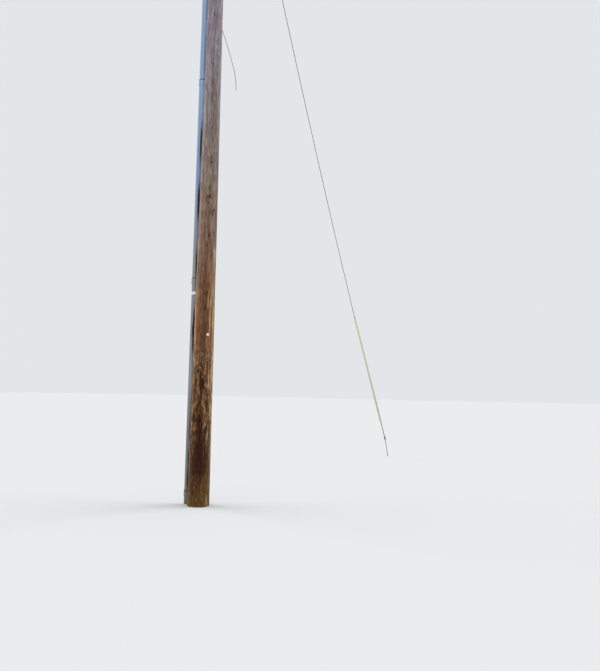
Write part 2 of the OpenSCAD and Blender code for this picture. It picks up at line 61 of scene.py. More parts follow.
# Route of the cut-off wire, from its clamp on the pole to its bare end, in metres
WIRE_ROUTE = [
    (0.115, -0.021, 7.090), (0.115, -0.021, 7.060), (0.118, -0.024, 7.020), (0.125, -0.030, 6.970),
    (0.136, -0.040, 6.920), (0.150, -0.055, 6.865), (0.164, -0.072, 6.805), (0.178, -0.089, 6.740),
    (0.192, -0.107, 6.670), (0.206, -0.125, 6.600), (0.220, -0.142, 6.530), (0.233, -0.159, 6.460),
    (0.245, -0.174, 6.395), (0.256, -0.187, 6.335), (0.265, -0.197, 6.280), (0.272, -0.205, 6.225),
    (0.277, -0.211, 6.170), (0.281, -0.216, 6.110), (0.284, -0.219, 6.050), (0.286, -0.221, 6.005),
]


def linear(hex_code):
    """sRGB hex code to linear red, green, blue and an alpha of 1."""
    parts = [int(hex_code[i : i + 2], 16) / 255 for i in (1, 3, 5)]
    return tuple(c / 12.92 if c <= 0.04045 else ((c + 0.055) / 1.055) ** 2.4 for c in parts) + (1.0,)


def size(value, name, description):
    """A length in metres that a user may change."""
    return FloatProperty(name=name, description=description, default=value, unit="LENGTH", precision=4)


def turn(degrees, name, description):
    """An angle that a user may change, written in degrees."""
    return FloatProperty(name=name, description=description, default=math.radians(degrees), subtype="ANGLE")


def count(value, name, description):
    """A number of things that a user may change."""
    return IntProperty(name=name, description=description, default=value)


def number(value, name, description):
    """A plain number that a user may change."""
    return FloatProperty(name=name, description=description, default=value)


def colour(hex_code, name, description):
    """A colour that a user may change, written as its sRGB hex code."""
    default = linear(hex_code)[:3]
    return FloatVectorProperty(
        name=name, description=description, default=default, subtype="COLOR", size=3, min=0, max=1
    )


# Settings


class PoleSettings(bpy.types.PropertyGroup):
    height: size(11.9, "Height", "Height of the pole above the ground")
    base_d: size(0.302, "Diameter at the ground", "Diameter of the pole at the ground")
    top_d: size(0.164, "Diameter at the top", "Diameter of the pole at its top")
    chamfer: size(0.008, "Chamfer", "Width of the chamfer round the top edge")
    taper: number(1.12, "Taper", "How the taper is spread, 1 is even")
    columns: count(196, "Columns", "Even columns of the surface round the pole")
    lanes: count(12, "Check lanes", "Lines of grain along which the wood has cracked")
    check_width: size(0.0055, "Check width", "Width of the widest drying crack at its mouth")
    check_depth: size(0.011, "Check depth", "Depth of the deepest drying crack")
    spiral: turn(1.5, "Spiral", "How far the grain turns round the pole in a metre of height")
    seed: count(7, "Seed", "Picks another set of knots and cracks")


class RiserSettings(bpy.types.PropertyGroup):
    diameter: size(0.0889, "Diameter", "Outside diameter of the conduit")
    wall: size(0.0055, "Wall", "Wall of the conduit")
    gap: size(0.008, "Gap", "Gap between the conduit and the pole at the ground")
    turn: turn(84, "Turn", "Direction of the riser from the pole, turned from the guy")
    stick: size(3.05, "Stick", "Length of one stick of conduit")
    socket: size(0.08, "Socket", "Depth of the socket in a bell")
    flare: size(0.025, "Flare", "Length of the flare below a bell")
    stub: size(0.19, "First joint", "Height of the first joint above the ground")
    spigot_gap: size(0.006, "Spigot gap", "Gap under the end of a stick in its socket")
    top_drop: size(0.8, "Top", "Distance from the pole's top down to the riser's top")


class GuySettings(bpy.types.PropertyGroup):
    drop: size(0.3, "Bolt", "Distance from the pole's top down to the guy's bolt")
    lead: size(8.2, "Lead", "Distance from the pole to where the anchor rod leaves the ground")
    sag: size(0.36, "Sag", "How far the guy sags below the straight line")
    strand_d: size(0.0111, "Strand", "Diameter of the strand of seven wires")
    lay: size(0.16, "Lay", "Length of one turn of the strand's wires")
    grip_length: size(0.7, "Grip", "Length that a grip is wound along the strand")
    grip_pitch: size(0.1, "Grip pitch", "Length of one turn of a grip's rods")
    grip_rod: size(0.0036, "Rod", "Diameter of one rod of a grip")
    grip_rods: count(4, "Rods", "Rods side by side on each leg of a grip")
    loop_d: size(0.0096, "Loop", "Thickness of a grip's loop")
    groove_r: size(0.017, "Groove", "Radius of the groove that carries a grip")
    eye_bar: size(0.014, "Eye bar", "Thickness of the bar of an eye")
    washer: size(0.076, "Washer", "Side of the curved square washer")
    washer_t: size(0.006, "Washer thickness", "Thickness of the curved washer")
    rod_h: size(0.43, "Anchor height", "Height of the anchor rod's hub")
    rod_slope: turn(64, "Anchor slope", "Slope of the anchor rod")
    guard_length: size(3.05, "Guard", "Length of the guard tube")
    guard_rise: size(0.52, "Guard foot", "Distance of the guard's foot from the anchor eye")
    guard_d: size(0.048, "Guard diameter", "Outside diameter of the guard")
    guard_wall: size(0.0025, "Guard wall", "Wall of the guard")
    guard_slit: size(0.007, "Guard slit", "Width of the slit along the guard")


class FinishSettings(bpy.types.PropertyGroup):
    wood_foot: colour("#684A24", "Wood, foot", "Treated wood at the ground, splashed with soil")
    wood_damp: colour("#4C3117", "Wood, knee height", "Treated wood at knee height, dark and damp")
    wood_low: colour("#74502C", "Wood, low", "Treated wood at head height")
    wood_red: colour("#805F48", "Wood, 3 m", "Treated wood at 3 m, redder")
    wood_mid: colour("#856F5F", "Wood, 4 m", "Treated wood at 4 m, paler")
    wood_pale: colour("#887B71", "Wood, 5 m", "Treated wood at 5 m, going grey")
    wood_high: colour("#8E8588", "Wood, 6 m", "Treated wood at 6 m, greyed by the sun")
    wood_top: colour("#918A94", "Wood, 7 m", "Treated wood at 7 m, in cooler light")
    tar: colour("#3B1E10", "Bleed", "Preservative that has bled out and dried dark")
    bleached: colour("#BCA07A", "Bleached", "Wood that sun and rain have worn pale")
    silvered: colour("#B7A8A8", "Silvered", "Worn wood high up, silvered rather than tan")
    conduit_low: colour("#7A7F78", "Conduit, low", "Chalked grey plastic near the ground")
    conduit_mid: colour("#979796", "Conduit, head height", "Chalked grey plastic, palest at head height")
    conduit_high: colour("#8AA1C1", "Conduit, high", "Chalked grey plastic higher up, in cooler light")
    zinc: colour("#A3A7AA", "Zinc", "Dulled hot-dip zinc")
    bright_zinc: colour("#DADBE4", "Bright zinc", "Zinc of the straps, which is newer and brighter")
    wire: colour("#575B61", "Wire", "Weathered wire of the strand")
    guard: colour("#D9DBBC", "Guard", "Yellow plastic that the sun has faded to cream")
    glaze: colour("#5B2A1A", "Glaze", "Brown glaze of the spool")


class StageSettings(bpy.types.PropertyGroup):
    camera_x: size(-6.88, "Camera X", "Camera place along X")
    camera_y: size(-4.94, "Camera Y", "Camera place along Y")
    camera_z: size(1.53, "Camera height", "Camera height, at eye level")
    heading: turn(26.55, "Heading", "Direction that the camera looks in, turned from +X")
    pitch: turn(5.62, "Pitch", "Upward tilt of the camera")
    roll: turn(1.10, "Roll", "Turn of the camera about its own line of sight")
    focal: number(600, "Focal length", "Focal length in pixels of the picture")
    ambient: number(0.64, "Ambient", "Light from all round")
    side_light: number(1.25, "Side light", "Strength of each soft side lamp")
    backdrop: colour("#E3E6E9", "Backdrop", "Pale colour behind the object")
    floor: colour("#E4E6E8", "Floor", "Pale colour of the floor")


# Arrays of points and the meshes made from them


def ease(a, b, x):
    """0 up to a, 1 from b on, and the cubic 3t^2 - 2t^3 between them."""
    t = np.clip((x - a) / (b - a), 0, 1)
    return t * t * (3 - 2 * t)


def bell(x, width):
    """1 at the middle, falling off as exp(-(x / width)^2)."""
    return np.exp(-((x / width) ** 2))


def wrapped(angle):
    """An angle brought between -pi and pi."""
    return (angle + np.pi) % (2 * np.pi) - np.pi


def lattice(x, y, seed, around=None):
    """Noise from -1 to 1: a value drawn at each whole x and y, eased between its neighbours. around is
    the number of cells of x in a full turn, where x goes round the pole."""
    wide, tall = around or 97, 211
    draw = np.random.default_rng(seed).uniform(-1, 1, (wide, tall))
    i, j = np.floor(x).astype(int), np.floor(y).astype(int)
    u, v = ease(0, 1, x - i), ease(0, 1, y - j)
    low = draw[i % wide, j % tall] * (1 - u) + draw[(i + 1) % wide, j % tall] * u
    high = draw[i % wide, (j + 1) % tall] * (1 - u) + draw[(i + 1) % wide, (j + 1) % tall] * u
    return low * (1 - v) + high * v


def unit(v):
    """Vectors brought to length 1."""
    return v / np.linalg.norm(v, axis=-1, keepdims=True)


class Shell:
    """A mesh in the making: patches of points with their faces, each with the number of its material."""

    def __init__(self):
        self.points, self.faces, self.total = [], [], 0

    def grid(self, points, around=True, loop=False, ends=True, skin=0):
        """Adds rows by columns of points. Columns run anticlockwise seen against the rows' direction, so
        the faces point outwards. around joins the last column to the first, loop joins the last row to
        the first, and ends closes the first and last rows with a fan of triangles to their middle."""
        rows, cols = points.shape[:2]
        i = np.arange(rows if loop else rows - 1)[:, None]
        j = np.arange(cols if around else cols - 1)[None, :]
        first = self.total

        def at(a, b):
            return first + (a % rows) * cols + b % cols

        quads = np.stack([at(i, j), at(i, j + 1), at(i + 1, j + 1), at(i + 1, j)], -1)
        self.points.append(points.reshape(-1, 3))
        self.faces.append((quads.reshape(-1, 4), skin))
        self.total += rows * cols
        if ends and not loop:
            k = np.arange(cols)
            for row, order in ((0, -1), (rows - 1, 1)):
                ring = first + row * cols + np.stack([k, (k + 1) % cols], -1)[:, ::order]
                middle = np.full((cols, 1), self.total)
                self.faces.append((np.hstack([ring, middle]), skin))
                self.points.append(points[row].mean(0)[None])
                self.total += 1
        return self

    def piece(self, name, skins, sharp=40, replaces=(), slot=None, fields=None):
        """Makes the object, riding on the part's one body. Edges that bend by more than sharp degrees
        stay crisp. fields are numbers for each point that the material reads by name."""
        co = np.vstack(self.points)
        corners = np.concatenate([f.ravel() for f, _ in self.faces])
        counts = np.concatenate([np.full(len(f), f.shape[1]) for f, _ in self.faces])
        skin = np.concatenate([np.full(len(f), s) for f, s in self.faces])
        mesh = bpy.data.meshes.new(name)
        mesh.vertices.add(len(co))
        mesh.vertices.foreach_set("co", co.ravel())
        mesh.loops.add(len(corners))
        mesh.loops.foreach_set("vertex_index", corners)
        mesh.polygons.add(len(counts))
        mesh.polygons.foreach_set("loop_start", np.concatenate([[0], np.cumsum(counts)[:-1]]))
        mesh.polygons.foreach_set("material_index", skin)
        for field, values in (fields or {}).items():
            vector = values.ndim == 3
            whole = np.zeros(co.shape if vector else len(co))
            whole.ravel()[: values.size] = values.ravel()
            made = mesh.attributes.new(field, "FLOAT_VECTOR" if vector else "FLOAT", "POINT")
            made.data.foreach_set("vector" if vector else "value", whole.ravel())
        mesh.update(calc_edges=True)
        mesh.validate()
        mesh.polygons.foreach_set("use_smooth", np.ones(len(mesh.polygons), bool))
        mesh.set_sharp_from_angle(angle=math.radians(sharp))
        for s in skins:
            mesh.materials.append(s)
        made = bpy.data.objects.new(name, mesh)
        bpy.context.collection.objects.link(made)
        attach(made, "root")
        if replaces:
            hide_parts(*replaces)
        return made


def circle(count, start=0.0):
    """Angles of a full turn, anticlockwise, without the repeated last one."""
    return start + np.arange(count) / count * 2 * np.pi


def revolve(profile, centre, segments=64, axis=(0, 0, 1), side=(1, 0, 0)):
    """Rows by columns of points: each point (r, z) of the profile is carried once round an axis through
    the centre, at r from it and z along it."""
    r, z = np.asarray(profile, float).T
    axis, side = np.asarray(axis, float), np.asarray(side, float)
    other = np.cross(axis, side)
    a = circle(segments)[None, :, None]
    return np.asarray(centre, float) + (
        r[:, None, None] * (np.cos(a) * side + np.sin(a) * other) + z[:, None, None] * axis
    )


def tube(path, radius, sides, reference, twist=None, section=None):
    """Rows by columns of points: a round section of the given radius, or one whose radius is a function
    of the angle, is carried along a path and turned by twist at each of its points."""
    path = np.asarray(path, float)
    along = unit(np.gradient(path, axis=0))
    e1 = unit(np.cross(along, np.asarray(reference, float)))
    e2 = np.cross(along, e1)
    a = circle(sides)
    r = np.full(sides, radius) if section is None else radius * section(a)
    angle = a[None, :] + (0 if twist is None else np.asarray(twist)[:, None])
    ring = np.cos(angle)[..., None] * e1[:, None] + np.sin(angle)[..., None] * e2[:, None]
    return path[:, None] + r[None, :, None] * ring


def along_line(points, step):
    """Points at an even step along a line through the given ones, and their distances along it."""
    points = np.asarray(points, float)
    s = np.concatenate([[0], np.cumsum(np.linalg.norm(np.diff(points, axis=0), axis=1))])
    t = np.linspace(0, s[-1], max(2, int(round(s[-1] / step)) + 1))
    return np.stack([np.interp(t, s, points[:, k]) for k in range(3)], -1), t


def eased_line(points, per_span):
    """A Catmull-Rom curve through the points: each span is a cubic whose end slopes are half the
    step between the neighbours on both sides."""
    p = np.asarray(points, float)
    p = np.vstack([2 * p[0] - p[1], p, 2 * p[-1] - p[-2]])
    t = (np.arange(per_span) / per_span)[None, :, None]
    a, b, c, d = (p[k : len(p) - 3 + k, None] for k in range(4))
    spans = 0.5 * (2 * b + (c - a) * t + (2 * a - 5 * b + 4 * c - d) * t**2 + (3 * b - a - 3 * c + d) * t**3)
    return np.vstack([spans.reshape(-1, 3), p[-2]])


# Places that several pieces share


def pole_radius(z):
    """Half the diameter at the ground, less the taper, which grows as a power of the height."""
    pole = bpy.context.scene.up_pole
    fall = (pole.base_d - pole.top_d) / 2
    return pole.base_d / 2 - fall * np.clip(np.asarray(z) / pole.height, 0, 1) ** pole.taper


def riser_axis():
    """Where the conduit's axis meets the ground."""
    riser, pole = bpy.context.scene.up_riser, bpy.context.scene.up_pole
    off = pole.base_d / 2 + riser.gap + riser.diameter / 2
    return np.array([off * math.cos(riser.turn), off * math.sin(riser.turn), 0])


def guy_frame():
    """The guy in its upright plane: the eyes at both ends with the direction of the strand there, and
    points along the strand. It hangs as a parabola between two straight ends."""
    guy, pole = bpy.context.scene.up_guy, bpy.context.scene.up_pole
    bolt_z = pole.height - guy.drop
    washer_face = pole_radius(bolt_z - guy.washer / 2) + FIT + guy.washer_t
    hub_r = guy.eye_bar + 3 * MM
    eye_l = 2.2 * guy.eye_bar + guy.groove_r + 3 * MM
    throat = 75 * MM
    top = np.array([washer_face + FIT + hub_r, 0, bolt_z])
    low = np.array([guy.lead - guy.rod_h / math.tan(guy.rod_slope), 0, guy.rod_h])
    chord = np.linalg.norm(low - top)
    down = np.array([0, 0, 1.0])

    def hang(u):
        u = np.asarray(u, float)[..., None]
        return top + u * (low - top) - 4 * guy.sag * u * (1 - u) * down

    u_top = (eye_l + throat + guy.grip_length + 0.12) / chord
    u_low = 1 - (eye_l + guy.guard_rise + guy.guard_length + guy.sag) / chord
    dir_top = unit(hang(u_top) - top)
    dir_low = unit(hang(u_low) - low)
    eye_top, eye_low = top + eye_l * dir_top, low + eye_l * dir_low
    middle = hang(np.linspace(u_top, u_low, 60))
    line = np.vstack([eye_top + throat * dir_top, middle, eye_low + throat * dir_low])
    return {"eye_top": eye_top, "dir_top": dir_top, "eye_low": eye_low, "dir_low": dir_low, "line": line}


def on_guy(points, eye, direction):
    """Points given beside an eye, with z along the strand and y level, put in their place."""
    level = np.array([0, 1.0, 0])
    side = np.cross(level, direction)
    return eye + points[..., :1] * side + points[..., 1:2] * level + points[..., 2:] * direction


# Materials


def add(tree, kind, inputs=(), stops=(), **settings):
    """Adds a shader node with its settings and links. Inputs come in order, or by number or name: each is
    a value, or an output to link, or a node, which stands for its first live output. stops are the places
    and colours of a ramp."""
    made = tree.nodes.new("ShaderNode" + kind)
    for key, value in settings.items():
        setattr(made, key, value)
    for k, (place, value) in enumerate(stops):
        points = made.color_ramp.elements
        point = points[k] if k < 2 else points.new(place)
        point.position, point.color = place, value
    for key, value in inputs.items() if isinstance(inputs, dict) else enumerate(inputs):
        if isinstance(value, bpy.types.Node):
            value = next(out for out in value.outputs if out.enabled)
        if isinstance(value, bpy.types.NodeSocket):
            tree.links.new(value, made.inputs[key])
        else:
            made.inputs[key].default_value = value
    return made


def per(mm):
    """Texture scale at which one cell is that many millimetres wide."""
    return 1000 / mm


def rgba(settings_colour):
    """A colour setting with an alpha of 1."""
    return (*settings_colour, 1.0)


def new_material(name, roughness, metallic=0.0, **sockets):
    """A material with its shader. Values that are the same all over go straight on the shader."""
    made = bpy.data.materials.new(name)
    made.use_nodes = True
    shader = made.node_tree.nodes["Principled BSDF"]
    for key, value in {"Roughness": roughness, "Metallic": metallic, **sockets}.items():
        shader.inputs[key.replace("_", " ")].default_value = value
    return made, made.node_tree, shader


def weathered_wood():
    """Round pine pole, pressure-treated and weathered: long fibres in streaks of light and dark, redder low
    down and greyed by the sun higher up, with a flaking skin from 0.8 to 2.2 m, hairline checks, dried bleed
    and worn pale strips. Some of the pale strips are painted light on the limbs of the side that shows; the
    brown stain down its middle, the strip behind the conduit and the drying cracks carry painted shade.
    Patterns are drawn on the grain, which turns round the pole and parts round each knot."""
    look, pole = bpy.context.scene.up_finish, bpy.context.scene.up_pole
    made, tree, shader = new_material(
        "Treated pine, round and weathered", 0.86, Specular_IOR_Level=0.14, Sheen_Weight=0.06,
        Sheen_Tint=(0.8, 0.92, 1.0, 1.0),
    )
    place = add(tree, "TexCoord").outputs["Object"]
    grain = add(tree, "Attribute", attribute_name="grain").outputs["Vector"]
    height = add(tree, "SeparateXYZ", [place]).outputs["Z"]

    def along(across_mm, stretch, detail=4):
        """Noise with cells that many millimetres across the grain and stretch times as long."""
        drawn = add(tree, "Mapping", {"Vector": grain, "Scale": (1, 1, 1 / stretch)})
        return add(tree, "TexNoise", {"Vector": drawn, "Scale": per(across_mm), "Detail": detail})

    fibre, fleck, streak, band = along(5, 40, 5), along(10, 8), along(26, 14), along(75, 24, 2)

    # Colour by height, with limits that wander up and down by about half a metre
    blotch = add(tree, "TexNoise", {"Vector": place, "Scale": per(420), "Detail": 2})
    share_up = add(tree, "Math", (height, pole.height), operation="DIVIDE")
    wandered = add(tree, "Math", (blotch, 0.1, share_up), operation="MULTIPLY_ADD")
    level = add(tree, "Math", (wandered, 0.05), operation="SUBTRACT")
    mixed = add(tree, "ValToRGB", [level], [(metres / pole.height, rgba(value)) for metres, value in (
        (0.05, look.wood_foot), (0.4, look.wood_damp), (1.5, look.wood_low), (3.0, look.wood_red),
        (3.9, look.wood_mid), (4.9, look.wood_pale), (6.0, look.wood_high), (7.0, look.wood_top),
        (9.5, look.wood_high),
    )])
    silvery = add(tree, "MapRange", (height, 2.8, 4.4, 0, 1))
    aged = add(tree, "Mix", {0: silvery, 6: rgba(look.bleached), 7: rgba(look.silvered)}, data_type="RGBA")

    # Warm and cool stretches of grain
    cool = add(tree, "MapRange", (along(90, 30, 2), 0.36, 0.64, 0, 1))
    hue = add(tree, "Mix", {0: cool, 6: (1.06, 1.0, 0.86, 1), 7: (0.98, 0.96, 1.06, 1)}, data_type="RGBA")

    # Cool light: on the left limb up to about 5.5 m, and on the right one from about 4 m up
    side = add(tree, "VectorMath", (grain, (math.cos(LIMB), math.sin(LIMB), 0)), operation="DOT_PRODUCT")
    leftward = add(tree, "MapRange", (side, -0.05, -0.12, 0, 1))
    under = add(tree, "MapRange", (height, 5.2, 5.8, 1, 0))
    left = add(tree, "Math", (leftward, under), operation="MULTIPLY")
    rightward = add(tree, "MapRange", (side, 0.02, 0.15, 0, 1))
    over = add(tree, "MapRange", (height, 3.2, 4.6, 0, 1))
    right = add(tree, "Math", (rightward, over), operation="MULTIPLY")
    blue = add(tree, "MapRange", (height, 3.0, 4.2, 0, 1))
    tint = add(tree, "Mix", {0: blue, 6: (1.15, 1.14, 1.16, 1), 7: (1.26, 1.25, 1.42, 1)}, data_type="RGBA")

    # Blotches and a flaking skin belong to the low wood, and fibres fray the edge of each flake
    low = add(tree, "MapRange", (height, 1.95, 2.5, 1, 0.45))
    off_ground = add(tree, "MapRange", (height, 0.35, 0.7, 0.3, 1))
    blotched = add(tree, "Math", (low, off_ground), operation="MINIMUM")
    low = add(tree, "MapRange", (height, 1.95, 2.3, 1, 0.12))
    off_ground = add(tree, "MapRange", (height, 0.6, 0.95, 0.15, 1))
    flaked = add(tree, "Math", (low, off_ground), operation="MULTIPLY")
    flake = add(tree, "Math", (fibre, 0.55, along(27, 2.2, 6)), operation="MULTIPLY_ADD")
    gone = add(tree, "MapRange", (flake, 0.705, 0.665, 0, 0.5))
    bare = add(tree, "Math", (gone, flaked), operation="MULTIPLY")
    lifted = add(tree, "MapRange", (flake, 0.80, 0.84, 0, 0.7))
    skin = add(tree, "Math", (lifted, flaked), operation="MULTIPLY")

    # Fibres are fainter high up, and broad streaks near the ground as well
    calm = add(tree, "MapRange", (height, 3.9, 5.6, 1, 0.5))
    clear = add(tree, "MapRange", (height, 0.6, 3.0, 0.5, 1))
    drawn = add(tree, "Math", (clear, calm), operation="MINIMUM")

    # A hairline lies where a slow noise crosses its middle, and opens where another one is high
    middle = add(tree, "Math", (along(34, 300, 1), 0.5), operation="SUBTRACT")
    off_line = add(tree, "Math", [middle], operation="ABSOLUTE")
    opening = add(tree, "MapRange", (along(30, 9, 2), 0.5, 0.62, 0, 0.012))
    hairline = add(tree, "MapRange", (off_line, 0, opening, 1, 0))
    torn = add(tree, "Math", (fleck, streak), operation="ADD")
    ragged = add(tree, "Math", (torn, 1.0), operation="SUBTRACT")
    amount = {
        field: add(tree, "Attribute", attribute_name=field).outputs["Fac"]
        for field in ("bleach", "stain", "reddened", "algae", "bleed", "shade", "knot", "check")
    }

    def patch(field, raggedness, most, low=0.25, high=0.7):
        """How much of a coat shows: most where the mesh's field is high, and none where it is low, with a
        torn edge between them."""
        edge = add(tree, "Math", (ragged, raggedness, amount[field]), operation="MULTIPLY_ADD")
        shown = add(tree, "MapRange", (edge, low, high, 0, most))
        inside = add(tree, "Math", (amount[field], 0.08), operation="GREATER_THAN")
        return add(tree, "Math", (shown, inside), operation="MULTIPLY")

    # Coats in the order in which they lie, some of them painted light and shade: how much of each shows, its
    # colour and how it blends
    for share, coat, blend in (
        (1.0, hue, "MULTIPLY"),
        (left, tint, "MULTIPLY"),
        (right, (0.99, 1.08, 1.2, 1), "MULTIPLY"),
        (add(tree, "MapRange", (fleck, 0.42, 0.32, 0, 0.3)), aged, "MIX"),
        # Worn pale strips, partly painted light on the limbs
        (patch("bleach", 2.0, 0.7), aged, "MIX"),
        # Soft brown stain, partly painted shade down the middle of the side that shows
        (amount["stain"], (0.6, 0.55, 0.47, 1), "MULTIPLY"),
        (amount["reddened"], (1.16, 0.84, 0.74, 1), "MULTIPLY"),
        (amount["algae"], (0.96, 1.02, 0.66, 1), "MULTIPLY"),
        (blotched, add(tree, "MapRange", (along(46, 3.2, 3), 0.36, 0.64, 0.58, 1.45)), "MULTIPLY"),
        (bare, aged, "MIX"),
        (patch("bleed", 1.0, 0.9, low=0.15, high=0.5), rgba(look.tar), "MIX"),
        (skin, (0.42, 0.38, 0.34, 1), "MULTIPLY"),
        (1.0, add(tree, "MapRange", (band, 0.35, 0.65, 0.86, 1.14)), "MULTIPLY"),
        (calm, add(tree, "MapRange", (fibre, 0.3, 0.7, 0.78, 1.22)), "MULTIPLY"),
        (drawn, add(tree, "MapRange", (streak, 0.32, 0.68, 0.68, 1.3)), "MULTIPLY"),
        (add(tree, "MapRange", (fleck, 0.54, 0.63, 0, 0.5)), linear("#2E1D14"), "MIX"),
        (hairline, linear("#241813"), "MIX"),
        # Painted shade on the wood behind the conduit
        (patch("shade", 1.1, 0.8), linear("#33231D"), "MIX"),
        (patch("knot", 0.5, 0.9), linear("#3A241A"), "MIX"),
        # Painted shade in the cracks, darkest where they are deepest
        (patch("check", 0.0, 1.0), linear("#150D0A"), "MIX"),
    ):
        mixed = add(tree, "Mix", {0: share, 6: mixed, 7: coat}, data_type="RGBA", blend_type=blend)
    tree.links.new(mixed.outputs[2], shader.inputs["Base Color"])
    depth = add(tree, "Math", (hairline, -0.8, fibre), operation="MULTIPLY_ADD")
    relief = add(tree, "Bump", {"Height": depth, "Strength": 0.7, "Distance": 2.5 * MM})
    tree.links.new(relief.outputs[0], shader.inputs["Normal"])
    return made


def end_grain():
    """Sawn end of the same pole: yearly rings about 5 mm apart, silvered by rain, with open cracks."""
    made, tree, shader = new_material("Treated pine, sawn end grain", 0.9)
    place = add(tree, "TexCoord").outputs["Object"]
    year = 5 * MM
    # a wave's rings repeat every 0.314 m at a scale of 1
    rings = add(tree, "TexWave", {
        "Vector": place, "Scale": 0.314 / year, "Distortion": 1.2, "Detail": 2, "Detail Scale": 0.6,
    }, wave_type="RINGS", rings_direction="Z").outputs["Fac"]
    grey = add(tree, "ValToRGB", [rings], [(0.0, linear("#6E645C")), (1.0, linear("#A79C90"))])
    # Painted shade in the cracks, darkest where they are deepest
    crack = add(tree, "Attribute", attribute_name="check").outputs["Fac"]
    mixed = add(tree, "Mix", {0: crack, 6: grey, 7: linear("#221A15")}, data_type="RGBA")
    tree.links.new(mixed.outputs[2], shader.inputs["Base Color"])
    return made


def chalked_conduit():
    """Extruded grey PVC pipe, chalked by the sun: a pale bloom on the side that shows, which is also painted
    light that lifts it most from 5.6 to 7.6 m, and none on the side turned 125 degrees, which is darker and
    bluer; rain streaks down it, soil at its foot, painted shade on the side that faces the pole, where the
    pole shades it, and a thin ring of dark primer at each joint."""
    look, riser = bpy.context.scene.up_finish, bpy.context.scene.up_riser
    made, tree, shader = new_material("PVC, extruded and sun-chalked", 0.55)
    place = add(tree, "TexCoord").outputs["Object"]
    height = add(tree, "SeparateXYZ", [place]).outputs["Z"]
    full = 8.0
    level = add(tree, "Math", (height, full), operation="DIVIDE")
    mixed = add(tree, "ValToRGB", [level], [(metres / full, rgba(value)) for metres, value in (
        (0.0, look.conduit_low), (0.9, look.conduit_low), (1.7, look.conduit_mid),
        (3.35, look.conduit_mid), (4.6, look.conduit_high),
    )])
    drawn = add(tree, "Mapping", {"Vector": place, "Scale": (1, 1, 0.02)})
    rain = add(tree, "TexNoise", {"Vector": drawn, "Scale": per(16), "Detail": 4})
    mottle = add(tree, "TexNoise", {"Vector": place, "Scale": per(30), "Detail": 3})
    splashed = add(tree, "MapRange", (height, 0.16, 0, 0, 1.3))
    soil = add(tree, "Math", (splashed, mottle), operation="MULTIPLY")

    # Primer shows on the last 16 mm under the rim of each bell
    primed = 16 * MM
    above = add(tree, "Math", (height, riser.stub - primed), operation="SUBTRACT")
    step = add(tree, "Math", (above, riser.stick - riser.socket), operation="FLOORED_MODULO")
    ring = add(tree, "MapRange", (step, primed - 1 * MM, primed + 3 * MM, 0.8, 0))
    damp, chalk, grime = (
        add(tree, "Attribute", attribute_name=field).outputs["Fac"] for field in ("damp", "chalk", "grime")
    )
    for share, coat, blend in (
        (1.0, add(tree, "MapRange", (rain, 0.3, 0.7, 0.84, 1.1)), "MULTIPLY"),
        (soil, linear("#6E5B45"), "MIX"),
        # Darker and bluer towards the side turned 125 degrees
        (damp, (0.58, 0.70, 0.86, 1), "MULTIPLY"),
        # Chalk and painted light: lightens the side that shows, most from 5.6 to 7.6 m
        (chalk, (2.2, 2.2, 2.24, 1), "MULTIPLY"),
        # Painted shade where the pole shades the conduit
        (grime, linear("#1D171B"), "MIX"),
        (ring, linear("#35304E"), "MIX"),
    ):
        mixed = add(tree, "Mix", {0: share, 6: mixed, 7: coat}, data_type="RGBA", blend_type=blend)
    tree.links.new(mixed.outputs[2], shader.inputs["Base Color"])
    dull = add(tree, "MapRange", (rain, 0, 1, 0.45, 0.7))
    tree.links.new(dull.outputs[0], shader.inputs["Roughness"])
    return made


def dulled_zinc(name, tint, roughness, metallic, rust_below=None, spangle_mm=9, stained=0.55):
    """Steel, galvanised: crystals of zinc, on hot-dip work about 9 mm across, in slightly different greys,
    dulled by weather. rust_below is a height under which soil has kept it wet and it has rusted."""
    made, tree, shader = new_material(name, roughness, metallic)
    place = add(tree, "TexCoord").outputs["Object"]
    spangle = add(tree, "TexVoronoi", {"Vector": place, "Scale": per(spangle_mm)}).outputs["Color"]
    grey = add(tree, "RGBToBW", [spangle])
    level = add(tree, "MapRange", (grey, 0, 1, 0.86, 1.08))
    mixed = add(tree, "Mix", {0: 1.0, 6: tint, 7: level}, data_type="RGBA", blend_type="MULTIPLY")
    stain = add(tree, "TexNoise", {"Vector": place, "Scale": per(22), "Detail": 4})
    shown = add(tree, "MapRange", (stain, 0.52, 0.72, 0, stained))
    mixed = add(tree, "Mix", {0: shown, 6: mixed, 7: linear("#6F6A63")}, data_type="RGBA")
    if rust_below:
        height = add(tree, "SeparateXYZ", [place]).outputs["Z"]
        low = add(tree, "MapRange", (height, rust_below, 0, 0, 1.2))
        rusted = add(tree, "Math", (low, stain, -0.12), operation="MULTIPLY_ADD")
        mixed = add(tree, "Mix", {0: rusted, 6: mixed, 7: linear("#6B3E24")}, data_type="RGBA")
    tree.links.new(mixed.outputs[2], shader.inputs["Base Color"])
    worn = add(tree, "MapRange", (stain, 0, 1, roughness - 0.1, roughness + 0.12))
    tree.links.new(worn.outputs[0], shader.inputs["Roughness"])
    return made


def faded_guard():
    """Extruded plastic guard, once yellow, faded to cream, with grime towards its foot."""
    look = bpy.context.scene.up_finish
    made, tree, shader = new_material("Polyethylene, extruded and sun-faded", 0.5)
    place = add(tree, "TexCoord").outputs["Object"]
    height = add(tree, "SeparateXYZ", [place]).outputs["Z"]
    mottle = add(tree, "TexNoise", {"Vector": place, "Scale": per(70), "Detail": 4})
    low = add(tree, "MapRange", (height, 3.3, 0.8, 0, 1))
    grimy = add(tree, "Math", (low, mottle), operation="MULTIPLY")
    mixed = add(tree, "Mix", {0: grimy, 6: rgba(look.guard), 7: linear("#A3A183")}, data_type="RGBA")
    tree.links.new(mixed.outputs[2], shader.inputs["Base Color"])
    return made


